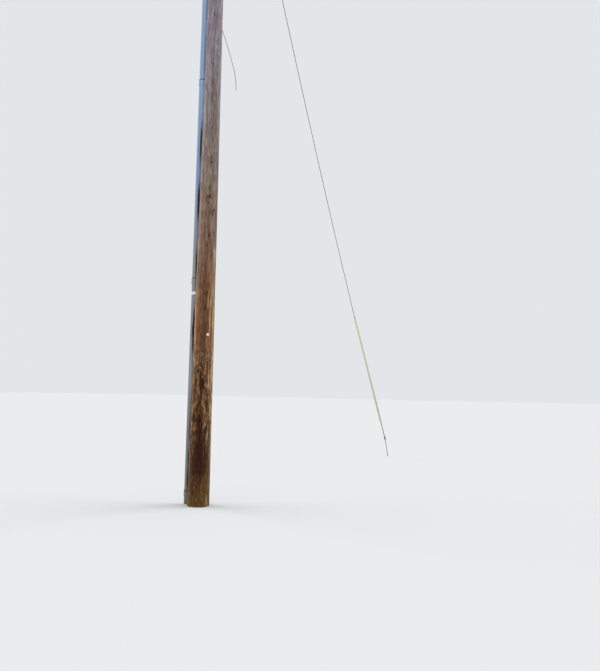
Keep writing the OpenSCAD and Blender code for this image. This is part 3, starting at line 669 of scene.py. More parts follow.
def plain_coat(name, tint, roughness, metallic=0.0, grain_mm=12, spread=0.12, bump_mm=0.0, **sockets):
    """A finish of one colour that varies a little from place to place, with an optional fine relief."""
    made, tree, shader = new_material(name, roughness, metallic, **sockets)
    place = add(tree, "TexCoord").outputs["Object"]
    noise = add(tree, "TexNoise", {"Vector": place, "Scale": per(grain_mm), "Detail": 4})
    level = add(tree, "MapRange", (noise, 0, 1, 1 - spread, 1 + spread))
    mixed = add(tree, "Mix", {0: 1.0, 6: tint, 7: level}, data_type="RGBA", blend_type="MULTIPLY")
    tree.links.new(mixed.outputs[2], shader.inputs["Base Color"])
    if bump_mm:
        relief = add(tree, "Bump", {"Height": noise, "Strength": 0.6, "Distance": bump_mm * MM})
        tree.links.new(relief.outputs[0], shader.inputs["Normal"])
    return made


def dress(material, *nodes):
    """Gives solids of the frame a finish."""
    for name in nodes:
        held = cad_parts[name]
        if not held.material_slots:
            held.data.materials.append(None)
        for place in held.material_slots:
            place.material = material


def rounded(material, slot, width_mm, *nodes):
    """For each solid, a piece made from a merged copy of its mesh, with a bevel that rounds its edges."""
    for name in nodes:
        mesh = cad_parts[name].data.copy()
        mesh.name = name + "_rounded"
        work = bmesh.new()
        work.from_mesh(mesh)
        bmesh.ops.remove_doubles(work, verts=work.verts, dist=0.01 * MM)
        bmesh.ops.dissolve_limit(work, angle_limit=math.radians(0.5), verts=work.verts, edges=work.edges)
        for face in work.faces:
            face.smooth = True
            face.material_index = 0
        work.to_mesh(mesh)
        work.free()
        normals = mesh.attributes.get("custom_normal")
        if normals:
            mesh.attributes.remove(normals)
        mesh.set_sharp_from_angle(angle=math.pi)
        mesh.materials.clear()
        mesh.materials.append(material)
        made = bpy.data.objects.new(mesh.name, mesh)
        bpy.context.collection.objects.link(made)
        edge = made.modifiers.new("Rounded edges", "BEVEL")
        edge.width, edge.segments, edge.harden_normals = width_mm * MM, 2, True
        edge.limit_method, edge.angle_limit = "ANGLE", math.radians(34)
        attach(made, "root")
        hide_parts(name)


# The pieces


class UTILITYPOLE_OT_stage(bpy.types.Operator):
    """Sets the camera, the soft lamps, the pale floor and the backdrop"""

    bl_idname = "utilitypole.stage"
    bl_label = "Stage"

    def execute(self, context):
        stage = context.scene.up_stage
        ahead = Vector((math.cos(stage.heading), math.sin(stage.heading), 0))
        right = Vector((math.sin(stage.heading), -math.cos(stage.heading), 0))
        up = Vector((0, 0, 1))
        look = ahead * math.cos(stage.pitch) + up * math.sin(stage.pitch)
        over = up * math.cos(stage.pitch) - ahead * math.sin(stage.pitch)
        right, over = (
            right * math.cos(stage.roll) + over * math.sin(stage.roll),
            over * math.cos(stage.roll) - right * math.sin(stage.roll),
        )
        lens = bpy.data.cameras.new("Camera")
        lens.sensor_width = 36
        lens.lens = stage.focal * lens.sensor_width / max(PICTURE)
        lens.clip_start, lens.clip_end = 0.05, 2000
        camera = bpy.data.objects.new("Camera", lens)
        turned = Matrix((right, over, -look)).transposed().to_4x4()
        camera.matrix_world = Matrix.Translation((stage.camera_x, stage.camera_y, stage.camera_z)) @ turned
        context.collection.objects.link(camera)
        context.scene.camera = camera
        self.light(context, stage, ahead)
        self.floor(context, stage)
        context.scene.view_settings.view_transform = "Standard"
        return {"FINISHED"}

    def light(self, context, stage, ahead):
        """Light from all round, and a soft lamp on each side of the line of sight."""
        world = bpy.data.worlds.new("Backdrop")
        world.use_nodes = True
        tree = world.node_tree
        tree.nodes.clear()
        ray = add(tree, "LightPath").outputs
        seen = add(tree, "Math", (ray["Is Camera Ray"], ray["Is Glossy Ray"]), operation="MAXIMUM")
        also = add(tree, "Math", (seen, ray["Is Transmission Ray"]), operation="MAXIMUM")
        white = add(tree, "Background", ((1, 1, 1, 1), stage.ambient))
        pale = add(tree, "Background", (rgba(stage.backdrop), 1.0))
        add(tree, "OutputWorld", [add(tree, "MixShader", (also, white, pale))])
        context.scene.world = world
        softness, rise = math.radians(50), math.radians(32)
        for name, swing in (("Left lamp", 76), ("Right lamp", -76)):
            lamp = bpy.data.lights.new(name, "SUN")
            lamp.energy, lamp.angle = stage.side_light, softness
            made = bpy.data.objects.new(name, lamp)
            towards = Matrix.Rotation(math.radians(swing), 3, "Z") @ ahead
            towards.z = math.tan(rise)
            made.rotation_euler = towards.to_track_quat("Z", "Y").to_euler()
            context.collection.objects.link(made)

    def floor(self, context, stage):
        """A square of 500 m, far enough for its edge to lie on the horizon."""
        half = 250.0
        corners = np.array([[-half, -half, 0], [half, -half, 0], [half, half, 0], [-half, half, 0]])
        mesh = bpy.data.meshes.new("Floor")
        mesh.from_pydata(corners, [], [(0, 1, 2, 3)])
        tint = rgba(stage.floor)
        matt, _, _ = new_material("Floor, pale matt", 0.95, Base_Color=tint, Specular_IOR_Level=0.0)
        mesh.materials.append(matt)
        floor = bpy.data.objects.new("Floor", mesh)
        context.collection.objects.link(floor)


class UTILITYPOLE_OT_drop_wire(bpy.types.Operator):
    """Lays the cut-off wire along its route and bares its end"""

    bl_idname = "utilitypole.drop_wire"
    bl_label = "Cut-off wire"

    def execute(self, context):
        wire_d, core_d = 0.007, 0.0032
        aside = (0.85, -0.5, 0)
        path = eased_line(WIRE_ROUTE, 4)
        black, brown = linear("#2B2D30"), linear("#6B4A33")
        jacket = plain_coat("Polyethylene jacket, extruded and sun-dulled", black, 0.6, grain_mm=8)
        core = plain_coat("Copper, drawn and tarnished", brown, 0.45, 1.0, grain_mm=3)
        wire = Shell().grid(tube(path, wire_d / 2, 16, aside)).piece(
            "wire_jacket", [jacket], replaces=["drop_wire"], slot="wire_jacket"
        )
        back = unit(path[-2] - path[-1])
        bare = path[-1] + back * np.linspace(0.006, -0.0015, 4)[:, None]
        end = Shell().grid(tube(bare, core_d / 2, 12, aside)).piece(
            "wire_core", [core], slot="wire_jacket"
        )
        return {"FINISHED"}


# Whorls of knots: the height of each in metres, and those up to the picture's edge as they show in it
WHORLS = [
    0.26, 0.93, 1.78, 2.30, 2.95, 3.73, 4.15, 4.79, 5.81, 6.27, 6.66, 7.03, 7.7, 8.4, 9.0, 9.7, 10.3, 10.9,
]
# Knots on the side that shows: height in metres, turn in degrees, radius in millimetres
SEEN_KNOTS = [
    (0.25, -116, 12), (0.95, -122, 17), (1.76, -158, 20), (1.82, -127, 13), (2.89, -150, 12),
    (3.03, -132, 11), (3.73, -136, 13), (4.20, -146, 12), (4.10, -110, 15), (4.79, -136, 13),
    (5.80, -140, 9), (6.26, -145, 9), (6.53, -152, 10), (6.74, -134, 9), (7.02, -150, 12),
]
# Drying cracks on the side that shows: lowest and highest point in metres, turn in degrees, share of the
# width. The first few have lanes of grain of their own, and each other one takes the nearest lane.
OWN_LANES = 5
SEEN_CHECKS = [
    (4.24, 4.48, -139, 0.8), (5.55, 6.10, -141, 0.15), (6.80, 7.45, -143, 0.25),
    (2.60, 3.30, -146, 0.3), (1.35, 2.15, -137, 0.5), (0.15, 0.80, -133, 0.6), (3.40, 3.80, -120, 0.4),
    (4.95, 5.30, -128, 0.3), (2.36, 2.54, -135, 0.9), (0.45, 1.50, -160, 0.5), (5.10, 5.50, -163, 0.4),
    (6.40, 6.70, -121, 0.3),
]
# Patches of the weathered wood: the height and half height of each in metres, its turn and half width in
# degrees, and its strength. The picture looks at the pole along a turn of -144 degrees.
PATCHES = {
    # Dried bleed of preservative
    "bleed": [
        (1.05, 0.22, -152, 18, 1.0), (0.76, 0.18, -150, 30, 1.0), (0.55, 0.12, -153, 46, 1.0),
        (1.38, 0.05, -158, 9, 0.6), (1.62, 0.035, -150, 16, 1.0), (1.69, 0.03, -147, 14, 0.8),
        (1.83, 0.04, -168, 9, 0.9), (1.76, 0.05, -155, 6, 0.9), (1.67, 0.05, -186, 9, 0.75),
        (1.52, 0.06, -192, 8, 0.85), (1.49, 0.06, -151, 8, 0.65), (1.90, 0.04, -150, 7, 0.6),
        (1.85, 0.12, -119, 4, 0.8), (1.47, 0.06, -112, 5, 0.8), (1.35, 0.10, -114, 11, 0.85),
        (1.17, 0.06, -187, 9, 0.85), (1.03, 0.05, -117, 12, 0.9), (0.88, 0.05, -126, 10, 0.85),
        (0.74, 0.06, -196, 7, 0.7), (2.46, 0.06, -135, 4, 0.9), (3.73, 0.05, -135, 5, 0.65),
        (3.58, 0.06, -150, 6, 0.4), (4.40, 0.05, -142, 4, 0.5), (4.31, 0.06, -134, 4, 0.55),
        (4.09, 0.03, -126, 8, 0.55), (4.05, 0.03, -114, 10, 0.6), (4.28, 0.05, -148, 6, 0.4),
        (4.86, 0.04, -138, 5, 0.6), (7.05, 0.05, -150, 5, 0.4), (6.78, 0.06, -136, 5, 0.5),
        (2.91, 0.03, -136, 5, 0.6), (5.72, 0.05, -152, 3, 0.5), (2.83, 0.20, -140, 5, 0.45),
        (0.20, 0.22, -188, 18, 0.4), (5.26, 0.06, -158, 4, 0.5), (6.26, 0.05, -145, 4, 0.4),
    ],
    # Strips that sun and rain have worn pale, and painted light: the strips near either limb of the side
    # that shows stand for light on the limbs
    "bleach": [
        (2.45, 0.45, -217, 12, 0.8), (3.25, 0.50, -209, 11, 0.8), (1.75, 0.75, -80, 22, 1.0),
        (1.62, 0.16, -104, 9, 0.9), (1.10, 0.15, -121, 4, 0.9), (2.04, 0.09, -112, 4, 0.9),
        (1.62, 0.14, -174, 14, 0.5), (2.75, 0.12, -116, 11, 0.5), (2.85, 0.60, -86, 20, 0.65),
        (1.30, 0.10, -202, 14, 0.5), (1.06, 0.04, -190, 11, 0.8), (1.05, 0.45, -70, 14, 0.9),
        (5.50, 0.30, -190, 14, 0.6), (5.05, 0.16, -172, 7, 0.5), (4.15, 0.28, -208, 12, 0.6),
        (6.20, 0.60, -176, 18, 0.4), (1.94, 0.05, -196, 9, 0.5), (1.45, 0.04, -160, 16, 0.5),
        (0.07, 0.08, -102, 12, 0.5), (0.75, 0.40, -207, 9, 0.4), (0.40, 0.60, 20, 24, 0.6),
        (2.90, 1.20, 40, 18, 0.7), (5.20, 0.90, -20, 22, 0.6), (8.20, 0.90, 150, 24, 0.6),
        (2.48, 0.18, -110, 12, 1.0), (1.42, 0.12, -106, 9, 0.7), (0.95, 0.18, -106, 9, 0.8),
    ],
    # Soft brown stain, and painted shade: the broad patches down the middle of the side that shows stand for
    # shade there
    "stain": [
        (3.15, 0.30, -155, 24, 0.5), (2.78, 0.18, -146, 20, 0.85), (2.40, 0.26, -152, 24, 0.9),
        (2.05, 0.22, -160, 20, 0.8), (1.60, 0.50, -152, 26, 0.55), (3.85, 0.16, -155, 18, 0.5),
        (5.75, 0.12, -160, 14, 0.3), (5.45, 0.60, -114, 20, 0.45), (6.92, 0.16, -136, 14, 0.45),
        (0.72, 0.34, -186, 18, 0.7), (0.95, 0.30, -100, 12, 0.4), (3.45, 0.12, -142, 26, 0.4),
        (4.60, 0.50, -124, 16, 0.3), (1.10, 0.40, 30, 30, 0.6), (3.40, 0.60, -20, 24, 0.5),
        (5.80, 0.70, 60, 30, 0.5), (9.20, 0.80, -100, 26, 0.5), (10.6, 0.60, 10, 30, 0.5),
    ],
    # Wood reddened by preservative
    "reddened": [
        (2.46, 0.20, -116, 24, 0.6), (2.45, 0.20, -182, 16, 0.9), (2.20, 0.06, -116, 22, 0.8),
        (3.20, 0.28, -152, 26, 0.6), (3.60, 0.15, -176, 20, 0.5), (1.12, 0.16, -160, 14, 1.0),
        (0.70, 0.16, -138, 18, 0.8), (1.35, 0.10, -112, 14, 0.8), (2.00, 0.05, -210, 9, 0.7),
        (4.07, 0.04, -116, 14, 0.6), (6.95, 0.25, -128, 18, 0.4), (1.80, 0.50, 60, 26, 0.7),
        (3.10, 0.50, -30, 30, 0.6), (1.30, 0.40, 160, 20, 0.6),
    ],
    # A film of green algae
    "algae": [
        (4.35, 0.45, -176, 16, 0.7), (3.30, 0.55, -207, 10, 0.7), (2.34, 0.16, -197, 11, 1.0),
        (2.00, 0.30, -200, 9, 0.5), (0.86, 0.10, -182, 13, 1.0), (1.52, 0.07, -190, 10, 0.7),
        (1.17, 0.08, -186, 10, 0.7), (0.75, 0.36, -96, 18, 1.0), (0.18, 0.20, -140, 60, 0.5),
        (2.74, 0.16, -112, 12, 0.6), (1.10, 0.20, -80, 12, 0.6), (5.00, 0.12, -186, 8, 0.5),
        (0.60, 0.50, 120, 40, 0.6), (2.20, 0.60, 100, 24, 0.5), (0.50, 0.30, 20, 30, 0.5),
        (1.70, 0.55, -158, 26, 0.7), (0.58, 0.24, -180, 18, 0.9),
    ],
}


class UTILITYPOLE_OT_pole(bpy.types.Operator):
    """Models the round pole with its knots, drying cracks and weathered top"""

    bl_idname = "utilitypole.pole"
    bl_label = "Pole"

    def execute(self, context):
        pole, riser = context.scene.up_pole, context.scene.up_riser
        draw = np.random.default_rng(pole.seed)
        rise = self.rows(pole)
        lanes, mouth = self.checks(pole, draw, rise)
        even = circle(pole.columns)
        near = np.abs(wrapped(even[:, None] - lanes[None, :])).min(1) * pole.base_d / 2
        clearance = 3.5 * MM
        even = even[near > clearance]
        # each lane has five columns: its heart, the lips of its mouth and one more beside each lip
        steps = np.array([-1.7, -1, 0, 1, 1.7])
        home = np.concatenate([even, np.repeat(lanes, len(steps))])
        step = np.concatenate([np.zeros(len(even)), np.tile(steps, len(lanes))])
        lane = np.concatenate([np.zeros(len(even), int), np.repeat(np.arange(len(lanes)), len(steps))])
        heart = np.concatenate([np.zeros(len(even), bool), np.tile(steps == 0, len(lanes))])
        # the columns of a lane start in one place, and a hair's breadth by their step keeps them in order
        order = np.argsort(home + step * 1e-5)
        home, step, lane, heart = home[order], step[order], lane[order], heart[order]
        z = np.repeat(rise[:, None], len(home), 1)
        closed = 0.4 * MM
        grain = home + step * (closed + mouth[:, lane] / 2) / pole_radius(z)
        sway = 2.5 * MM * lattice(grain / (2 * np.pi) * 7, z / 0.7, pole.seed, around=7) / pole_radius(z)
        a = grain + pole.spiral * z + sway
        push, knot, mound = self.knots(draw, a, z)
        a = a + push
        swell = 0.9 * MM * (lattice(grain / (2 * np.pi) * 7, z / 0.8, pole.seed + 1, around=7) - 1)
        flute = 0.5 * MM * (lattice(grain / (2 * np.pi) * 48, z / 0.5, pole.seed + 2, around=48) - 1)
        cracked = np.where(heart, mouth[:, lane] / pole.check_width, 0)
        # the wood stays at least 0.1 mm inside the solid's surface
        relief = np.minimum(swell + flute + mound, -0.1 * MM) - cracked * pole.check_depth
        r = pole_radius(z) + relief
        body = np.stack([r * np.cos(a), r * np.sin(a), z], -1)
        top, top_crack = self.top(pole, draw, a[-1], r[-1], heart)
        sides = {"knot": knot, "shade": self.shaded_behind_conduit(a, z, pole, riser)}
        for k, (name, places) in enumerate(PATCHES.items()):
            sides[name] = self.patches(places, a, z, pole.seed + 5 + k)
        fields = {name: np.vstack([values, np.zeros_like(top_crack)]) for name, values in sides.items()}
        # The check field follows the depth of each crack, and the materials darken the cracks by it as
        # painted shade
        fields["check"] = np.vstack([np.clip(cracked * 2, 0, 1), top_crack])
        # the wood's patterns are drawn on a plain round pole
        plain_r = 0.15
        plain = np.stack([plain_r * np.cos(grain), plain_r * np.sin(grain), z], -1)
        fields["grain"] = np.vstack([plain, top])
        shell = Shell().grid(np.vstack([body, top]))
        quads, _ = shell.faces[0]
        skin = np.zeros(len(quads), int)
        skin[-(len(top) - 1) * len(home) :] = 1
        shell.faces[0] = (quads, skin)
        shell.faces[2] = (shell.faces[2][0], 1)
        woods = [weathered_wood(), end_grain()]
        shell.piece("pole_wood", woods, replaces=["pole_shaft"], slot="wood", fields=fields)
        return {"FINISHED"}

    def rows(self, pole):
        """Heights of the rows: 65 mm apart along the plain stretches, and 13 mm within 78 mm of a whorl."""
        wide = np.arange(0, pole.height - pole.chamfer, 0.065)
        close = np.concatenate([h + np.arange(-0.078, 0.079, 0.013) for h in WHORLS])
        rise = np.sort(np.concatenate([wide, close, [pole.height - pole.chamfer]]))
        kept = np.concatenate([[True], np.diff(rise) > 6 * MM])
        kept[-1] = True
        return rise[kept & (rise <= pole.height - pole.chamfer)]

    def checks(self, pole, draw, rise):
        """Lanes of grain that have cracked, and the width of the mouth in each at each row. A crack is a
        lens: its width is the square root of 1 - t^2 along it, t running from -1 to 1. The drawn ones are
        narrower on the side that shows, which has its own."""
        own = SEEN_CHECKS[:OWN_LANES]
        lanes = [math.radians(t) - pole.spiral * (low + high) / 2 for low, high, t, _ in own]
        spread = np.linspace(-np.pi, np.pi, pole.lanes - len(lanes), endpoint=False)
        lanes = np.concatenate([lanes, spread + draw.uniform(-0.1, 0.1, len(spread))])
        lanes = lanes % (2 * np.pi)
        apart = 0.06
        keep = [k for k in range(len(lanes)) if np.all(np.abs(wrapped(lanes[k] - lanes[:k])) > apart)]
        lanes = lanes[keep]
        mouth = np.zeros((len(rise), len(lanes)))

        def crack(k, low, high, width):
            t = (rise - (low + high) / 2) / ((high - low) / 2)
            mouth[:, k] = np.maximum(mouth[:, k], width * np.sqrt(np.clip(1 - t**2, 0, 1)))

        for low, high, seen, share in SEEN_CHECKS:
            at = math.radians(seen) - pole.spiral * (low + high) / 2
            crack(np.argmin(np.abs(wrapped(lanes - at))), low, high, share * pole.check_width)
        for k in range(len(lanes)):
            low = draw.uniform(-0.5, 1.5)
            while low < pole.height:
                high = low + draw.uniform(0.25, 1.7)
                facing = abs(wrapped(lanes[k] - FACING)) < 1.2 and low < SEEN_TOP
                widest = 0.35 if facing else 0.9
                crack(k, low, high, widest * draw.uniform(0.3, 1) * pole.check_width)
                low = high + draw.uniform(0.2, 1.3)
        return lanes, mouth

    def knots(self, draw, a, z):
        """Trimmed branches, each a low mound inside a dark rim. The grain parts round it: a point is
        pushed aside by its distance times a bell of that distance. None are drawn by chance on the side
        that shows, which has its own."""
        places = [(h, math.radians(t), w * MM) for h, t, w in SEEN_KNOTS]
        for height in WHORLS:
            for _ in range(draw.integers(2, 5)):
                h, t = height + draw.uniform(-0.03, 0.03), draw.uniform(-np.pi, np.pi)
                w = draw.uniform(9, 19) * MM
                if abs(wrapped(t - FACING)) > 1.1 or height > SEEN_TOP:
                    places.append((h, t, w))
        push, knot, mound = np.zeros_like(z), np.zeros_like(z), np.zeros_like(z)
        for h, t, w in places:
            r = pole_radius(h)
            beside, above = wrapped(a - t) * r, z - h
            push = push + beside * 0.5 * bell(np.hypot(beside, above * 0.5), 1.7 * w) / r
        for h, t, w in places:
            r = pole_radius(h)
            far = np.hypot(wrapped(a + push - t) * r, (z - h) * 0.85)
            rim, core = 0.9 * bell(far - 0.85 * w, 0.3 * w), 0.55 * bell(far, 0.7 * w)
            knot = np.maximum(knot, np.maximum(rim, core))
            mound = np.maximum(mound, 2.2 * MM * bell(far, 0.9 * w))
        return push, knot, mound

    def patches(self, places, a, z, seed):
        """Each patch is a bell in height and in turn, broken up by noise that is long up the pole."""
        total = np.zeros_like(z)
        for h, half, t, wide, strength in places:
            patch = bell(z - h, half) * bell(wrapped(a - math.radians(t)), math.radians(wide))
            total = np.maximum(total, strength * patch)
        torn = lattice(a / (2 * np.pi) * 40, z / 0.24, seed, around=40) * 0.2
        return np.clip(total + torn * ease(0.03, 0.4, total), 0, 1)

    def shaded_behind_conduit(self, a, z, pole, riser):
        """1 on the strip of wood behind the conduit, painted shade where the conduit shades the pole, and 0
        from 46 degrees beside it. Its middle lies 12 degrees past the conduit's, and it fades out towards
        the hood."""
        beside = np.degrees(np.abs(wrapped(a - riser.turn - math.radians(12))))
        top = pole.height - riser.top_drop
        return (1 - ease(26, 46, beside)) * (1 - ease(top - 1.6, top, z))

    def top(self, pole, draw, a, radius, cracked):
        """Rings that step over the chamfer and in towards the middle. The cracks run on from the lanes
        towards the heart, each to its own reach."""
        share = np.concatenate([[1], np.linspace(1, 0.04, 22)])
        inner = (radius - pole.chamfer)[None, :] * share[:, None]
        reach = draw.uniform(0.1, 0.8, len(a))
        crack = cracked * ease(reach - 0.25, reach + 0.25, share[:, None])
        level = pole.height - crack * 6 * MM
        points = np.stack([inner * np.cos(a), inner * np.sin(a), level], -1)
        return points, crack


# Painted shade on the conduit beside the pole, where the pole shades it: height and half height in metres,
# reach in degrees, strength
CONDUIT_SHADE = [
    (0.32, 0.16, 66, 1.0), (0.62, 0.10, 64, 1.0), (1.03, 0.12, 62, 0.7), (1.32, 0.16, 56, 0.4),
    (2.26, 0.16, 60, 1.0), (2.41, 0.07, 72, 1.0), (2.50, 0.20, 60, 1.0), (3.10, 0.10, 52, 0.5),
    (3.38, 0.18, 52, 1.0), (4.26, 0.24, 55, 1.0), (5.15, 0.25, 48, 0.9), (6.55, 0.30, 22, 0.5),
    (7.40, 0.40, 22, 0.5), (9.00, 0.80, 40, 0.6),
]


class UTILITYPOLE_OT_riser(bpy.types.Operator):
    """Models the sticks of conduit with their bells, and finishes the straps and the hood"""

    bl_idname = "utilitypole.riser"
    bl_label = "Riser"

    def execute(self, context):
        riser, pole, look = context.scene.up_riser, context.scene.up_pole, context.scene.up_finish
        plastic = chalked_conduit()
        top = pole.height - riser.top_drop
        step = riser.stick - riser.socket
        foot = 0.0
        sticks = "riser_stub", "riser_pipe_1", "riser_pipe_2", "riser_pipe_3", "riser_pipe_4"
        for k, name in enumerate(sticks):
            rim = riser.stub + k * step
            belled = name != sticks[-1]
            profile = self.stick(riser, foot, rim if belled else top, belled)
            shape = revolve(profile, riser_axis(), 72)
            Shell().grid(shape, loop=True).piece(
                name.replace("riser", "conduit"), [plastic], replaces=[name], slot="conduit", sharp=35,
                fields=self.weather(riser, shape),
            )
            foot = rim - riser.socket + riser.spigot_gap
        bright = dulled_zinc(
            "Steel, zinc-plated strap", rgba(look.bright_zinc), 0.45, 0.25, spangle_mm=2.5, stained=0.15
        )
        rounded(bright, "galvanised", 0.7, "riser_strap_1", "riser_strap_2", "riser_strap_3", "wire_clamp")
        heads = dulled_zinc(
            "Steel, zinc-plated screw", rgba(look.zinc), 0.4, 0.6, spangle_mm=4, stained=0.4
        )
        rounded(heads, "galvanised", 0.5, "strap_screws")
        cast = plain_coat("Aluminium, sand-cast", linear("#A9ACAE"), 0.5, 0.9, grain_mm=2.5, bump_mm=0.5)
        rounded(cast, "cast_aluminium", 1.2, "weatherhead_body")
        moulded = plain_coat("Phenolic insert, moulded black", linear("#26272A"), 0.45, grain_mm=6)
        rounded(moulded, "insert", 1.0, "weatherhead_insert")
        return {"FINISHED"}

    def weather(self, riser, shape):
        """How much darker and bluer, how chalked and lit and how shaded each point is. The painted shade
        sits on the side that faces the pole, where the pole shades it, in bands, each a bell in height, and
        mostly reaches round further near the ground."""
        a = np.broadcast_to(np.degrees(circle(shape.shape[1])), shape.shape[:2])
        z = shape[..., 2]

        def off(turned):
            return np.abs((a - turned + 180) % 360 - 180)

        chalk_and_light_turn, darker_side_turn = -122, 125
        beside = off(math.degrees(riser.turn) + 180) + 5 * lattice(z / 0.17, z * 0 + 0.5, 3)
        # Painted shade on the side of the conduit that faces the pole, where the pole shades it
        grime = np.zeros_like(z)
        for h, half, reach, strength in CONDUIT_SHADE:
            band = np.minimum(1, 1.5 * bell(z - h, half)) * (1 - ease(reach - 6, reach + 8, beside))
            grime = np.maximum(grime, strength * band)
        return {
            "grime": grime,
            # Chalk, and painted light raised from 5.6 to 7.6 m, on the side that shows
            "chalk": bell(off(chalk_and_light_turn), 42) * np.interp(z, [4.9, 5.6, 7.6, 8.4], [0.5, 0.9, 0.9, 0.5]),
            # Darker and bluer towards the side turned 125 degrees
            "damp": bell(off(darker_side_turn), 48),
        }

    def stick(self, riser, z0, z1, belled):
        """Outline of one stick: up the outside, over the rim and down the bore. The flare below a bell is
        a half wave of the cosine."""
        outer, lip = riser.diameter / 2, 1.5 * MM
        inner = outer - riser.wall
        up = [(inner, z0), (outer - lip, z0), (outer, z0 + lip)]
        straight = z1 - riser.socket - riser.flare if belled else z1
        row = 0.08
        up += [(outer, level) for level in np.arange(z0 + row, straight - row / 2, row)]
        if not belled:
            return up + [(outer, z1 - lip), (outer - lip, z1), (inner, z1)]
        bell_r = outer + FIT + riser.wall
        t = np.linspace(0, 1, 10)
        neck = z1 - riser.socket - riser.flare + t * riser.flare
        swell = outer + (bell_r - outer) * (1 - np.cos(np.pi * t)) / 2
        seat = z1 - riser.socket
        return up + list(zip(swell, neck)) + [
            (bell_r, z1 - 2 * lip), (bell_r - 0.4 * lip, z1 - 0.6 * lip), (bell_r - 1.4 * lip, z1),
            (outer + FIT + lip, z1), (outer + FIT, z1 - lip), (outer + FIT, seat), (inner, seat),
        ]


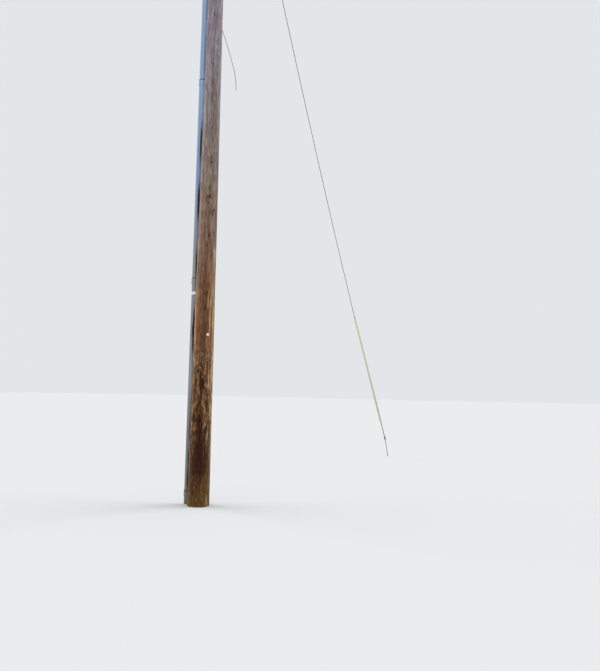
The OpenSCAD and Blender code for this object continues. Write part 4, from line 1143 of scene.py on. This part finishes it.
class UTILITYPOLE_OT_guy(bpy.types.Operator):
    """Lays up the strand's seven wires, winds the grips on it and slips the guard over it"""

    bl_idname = "utilitypole.guy"
    bl_label = "Guy"

    def execute(self, context):
        guy, look = context.scene.up_guy, context.scene.up_finish
        held = guy_frame()
        wire = dulled_zinc("Steel wire, galvanised and laid", rgba(look.wire), 0.5, 0.55)
        self.strand(guy, held, wire)
        self.grip(guy, "grip_top", held["eye_top"], held["dir_top"], wire, "guy_grip_upper")
        self.grip(guy, "grip_low", held["eye_low"], held["dir_low"], wire, "guy_grip_lower")
        self.guard(guy, held)
        zinc = dulled_zinc("Steel, hot-dip galvanised", rgba(look.zinc), 0.5, 0.7)
        anchor = dulled_zinc("Steel, galvanised anchor rod", rgba(look.zinc), 0.55, 0.6, rust_below=0.2)
        rounded(zinc, "galvanised", 1.0, "guy_washer", "line_washer", "line_nut", "line_clevis")
        rounded(zinc, "galvanised", 0.6, "guard_clamp_upper", "guard_clamp_lower")
        dress(zinc, "guy_eye_bolt", "clevis_pin", "tag_nail")
        dress(anchor, "anchor_rod")
        return {"FINISHED"}

    def strand(self, guy, held, wire):
        """Six wires laid round a seventh. Seen across, the outline at an angle t from the middle of the
        nearest wire is (D/3) cos t + sqrt((D/6)^2 - (D/3)^2 sin^2 t), and it turns once in each lay."""
        path, s = along_line(held["line"], guy.lay / 14)

        def outline(a):
            t = (a + np.pi / 6) % (np.pi / 3) - np.pi / 6
            return 2 / 3 * np.cos(t) + np.sqrt(np.clip(1 / 9 - 4 / 9 * np.sin(t) ** 2, 0, 1))

        shape = tube(path, guy.strand_d / 2, 24, (0, 1, 0), twist=s / guy.lay * 2 * np.pi, section=outline)
        Shell().grid(shape).piece("strand_wires", [wire], sharp=60, replaces=["guy_strand"], slot="strand")

    def grip(self, guy, name, eye, direction, wire, node):
        """Rods that run down one leg, through the thimble and up the other leg. On the strand a rod is a
        helix; in the loop it keeps its place in a round bundle; each throat eases from one to the other.
        The winding starts 110 mm from the eye, and a running mean rounds off the throats."""
        rod, pitch, rods = guy.grip_rod, guy.grip_pitch, guy.grip_rods
        start = 0.11
        mean = [0.1, 0.2, 0.4, 0.2, 0.1]
        wind_r = guy.strand_d / 2 + 0.2 * MM + rod / 2
        slope = math.atan(2 * np.pi * wind_r / pitch)
        loop_r = guy.groove_r + guy.loop_d / 2 + FIT
        lean = math.asin(loop_r / math.hypot(wind_r, start)) - math.atan2(wind_r, start)
        shell = Shell()
        for k in range(rods):
            shift = (k - (rods - 1) / 2) * (rod + 0.1 * MM)
            z = np.linspace(start, start + guy.grip_length, int(guy.grip_length / pitch * 16))
            legs = []
            for half in (1, -1):
                turned = (z - start) / pitch * 2 * np.pi + (0 if half > 0 else np.pi)
                angle = turned - half * shift * math.cos(slope) / wind_r
                level = z + half * shift * math.sin(slope)
                legs.append(np.stack([wind_r * np.cos(angle), wind_r * np.sin(angle), level], -1))
            swing = np.linspace(lean, -np.pi - lean, 30)
            bundle = 2 * np.pi * k / rods + 0.35 * (swing - lean) + np.pi / 4
            out = (guy.loop_d - rod) / 2 * np.cos(bundle)
            level = (guy.loop_d - rod) / 2 * np.sin(bundle)
            loop = np.stack([(loop_r + out) * np.cos(swing), level, (loop_r + out) * np.sin(swing)], -1)
            w = ease(0, 1, np.linspace(0, 1, 14))[1:-1, None]
            down = legs[0][0] * (1 - w) + loop[0] * w
            back = loop[-1] * (1 - w) + legs[1][0] * w
            path, _ = along_line(np.vstack([legs[0][::-1], down, loop, back, legs[1]]), 6 * MM)
            padded = np.pad(path, ((2, 2), (0, 0)), "edge")
            soft = np.stack([np.convolve(column, mean, "valid") for column in padded.T], -1)
            shell.grid(tube(on_guy(soft, eye, direction), rod / 2, 8, (0.1, 0.99, 0.05)))
        shell.piece(name, [wire], sharp=70, replaces=[node], slot="strand")

    def guard(self, guy, held):
        """A split tube: an open ring with rounded lips, drawn out straight along the strand."""
        outer, inner = guy.guard_d / 2, guy.guard_d / 2 - guy.guard_wall
        half = math.asin(guy.guard_slit / 2 / outer)
        a = np.linspace(half, 2 * np.pi - half, 44)
        lip = (outer + inner) / 2 * np.array([[math.cos(half * 0.8), -math.sin(half * 0.8)]])
        ring = np.vstack([
            outer * np.stack([np.cos(a), np.sin(a)], -1), lip,
            inner * np.stack([np.cos(a[::-1]), np.sin(a[::-1])], -1), lip * [[1, -1]],
        ])
        z = guy.guard_rise + np.linspace(0, guy.guard_length, 24)
        rows = np.zeros((len(z), len(ring), 3))
        rows[..., :2], rows[..., 2] = ring, z[:, None]
        shell = Shell().grid(on_guy(rows, held["eye_low"], held["dir_low"]), ends=False)
        foot = np.arange(len(ring))[None]
        shell.faces += [(foot[:, ::-1], 0), (foot + (len(z) - 1) * len(ring), 0)]
        shell.piece("guard_tube", [faded_guard()], sharp=30, replaces=["guy_guard"], slot="guard")


class UTILITYPOLE_OT_fittings(bpy.types.Operator):
    """Finishes the line spool and the button tag"""

    bl_idname = "utilitypole.fittings"
    bl_label = "Small fittings"

    def execute(self, context):
        look = context.scene.up_finish
        glazed = plain_coat(
            "Porcelain, wet-process with brown glaze", rgba(look.glaze), 0.14, grain_mm=18, spread=0.2,
            Coat_Weight=0.6, Coat_Roughness=0.05,
        )
        dress(glazed, "line_spool")
        button = plain_coat("Nylon button, moulded white", linear("#F2F1EF"), 0.45, spread=0.04)
        rounded(button, "tag", 0.6, "pole_tag")
        return {"FINISHED"}


class UTILITYPOLE_PT_panel(bpy.types.Panel):
    """Lists the steps that dress the pole"""

    bl_idname = "UTILITYPOLE_PT_panel"
    bl_label = "Utility Pole"
    bl_space_type = "VIEW_3D"
    bl_region_type = "UI"
    bl_category = "Utility Pole"

    def draw(self, context):
        for operator in OPERATORS:
            self.layout.operator(operator.bl_idname)


SETTINGS = {
    "up_pole": PoleSettings, "up_riser": RiserSettings, "up_guy": GuySettings, "up_finish": FinishSettings,
    "up_stage": StageSettings,
}
OPERATORS = [
    UTILITYPOLE_OT_stage, UTILITYPOLE_OT_drop_wire, UTILITYPOLE_OT_pole, UTILITYPOLE_OT_riser,
    UTILITYPOLE_OT_guy, UTILITYPOLE_OT_fittings,
]


def register():
    for made in (*SETTINGS.values(), *OPERATORS, UTILITYPOLE_PT_panel):
        bpy.utils.register_class(made)
    for name, group in SETTINGS.items():
        setattr(bpy.types.Scene, name, PointerProperty(type=group))


def unregister():
    for name in SETTINGS:
        delattr(bpy.types.Scene, name)
    for made in reversed((*SETTINGS.values(), *OPERATORS, UTILITYPOLE_PT_panel)):
        bpy.utils.unregister_class(made)


def main():
    """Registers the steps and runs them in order."""
    register()
    for operator in OPERATORS:
        family, name = operator.bl_idname.split(".")
        getattr(getattr(bpy.ops, family), name)()


if __name__ == "__main__":
    main()
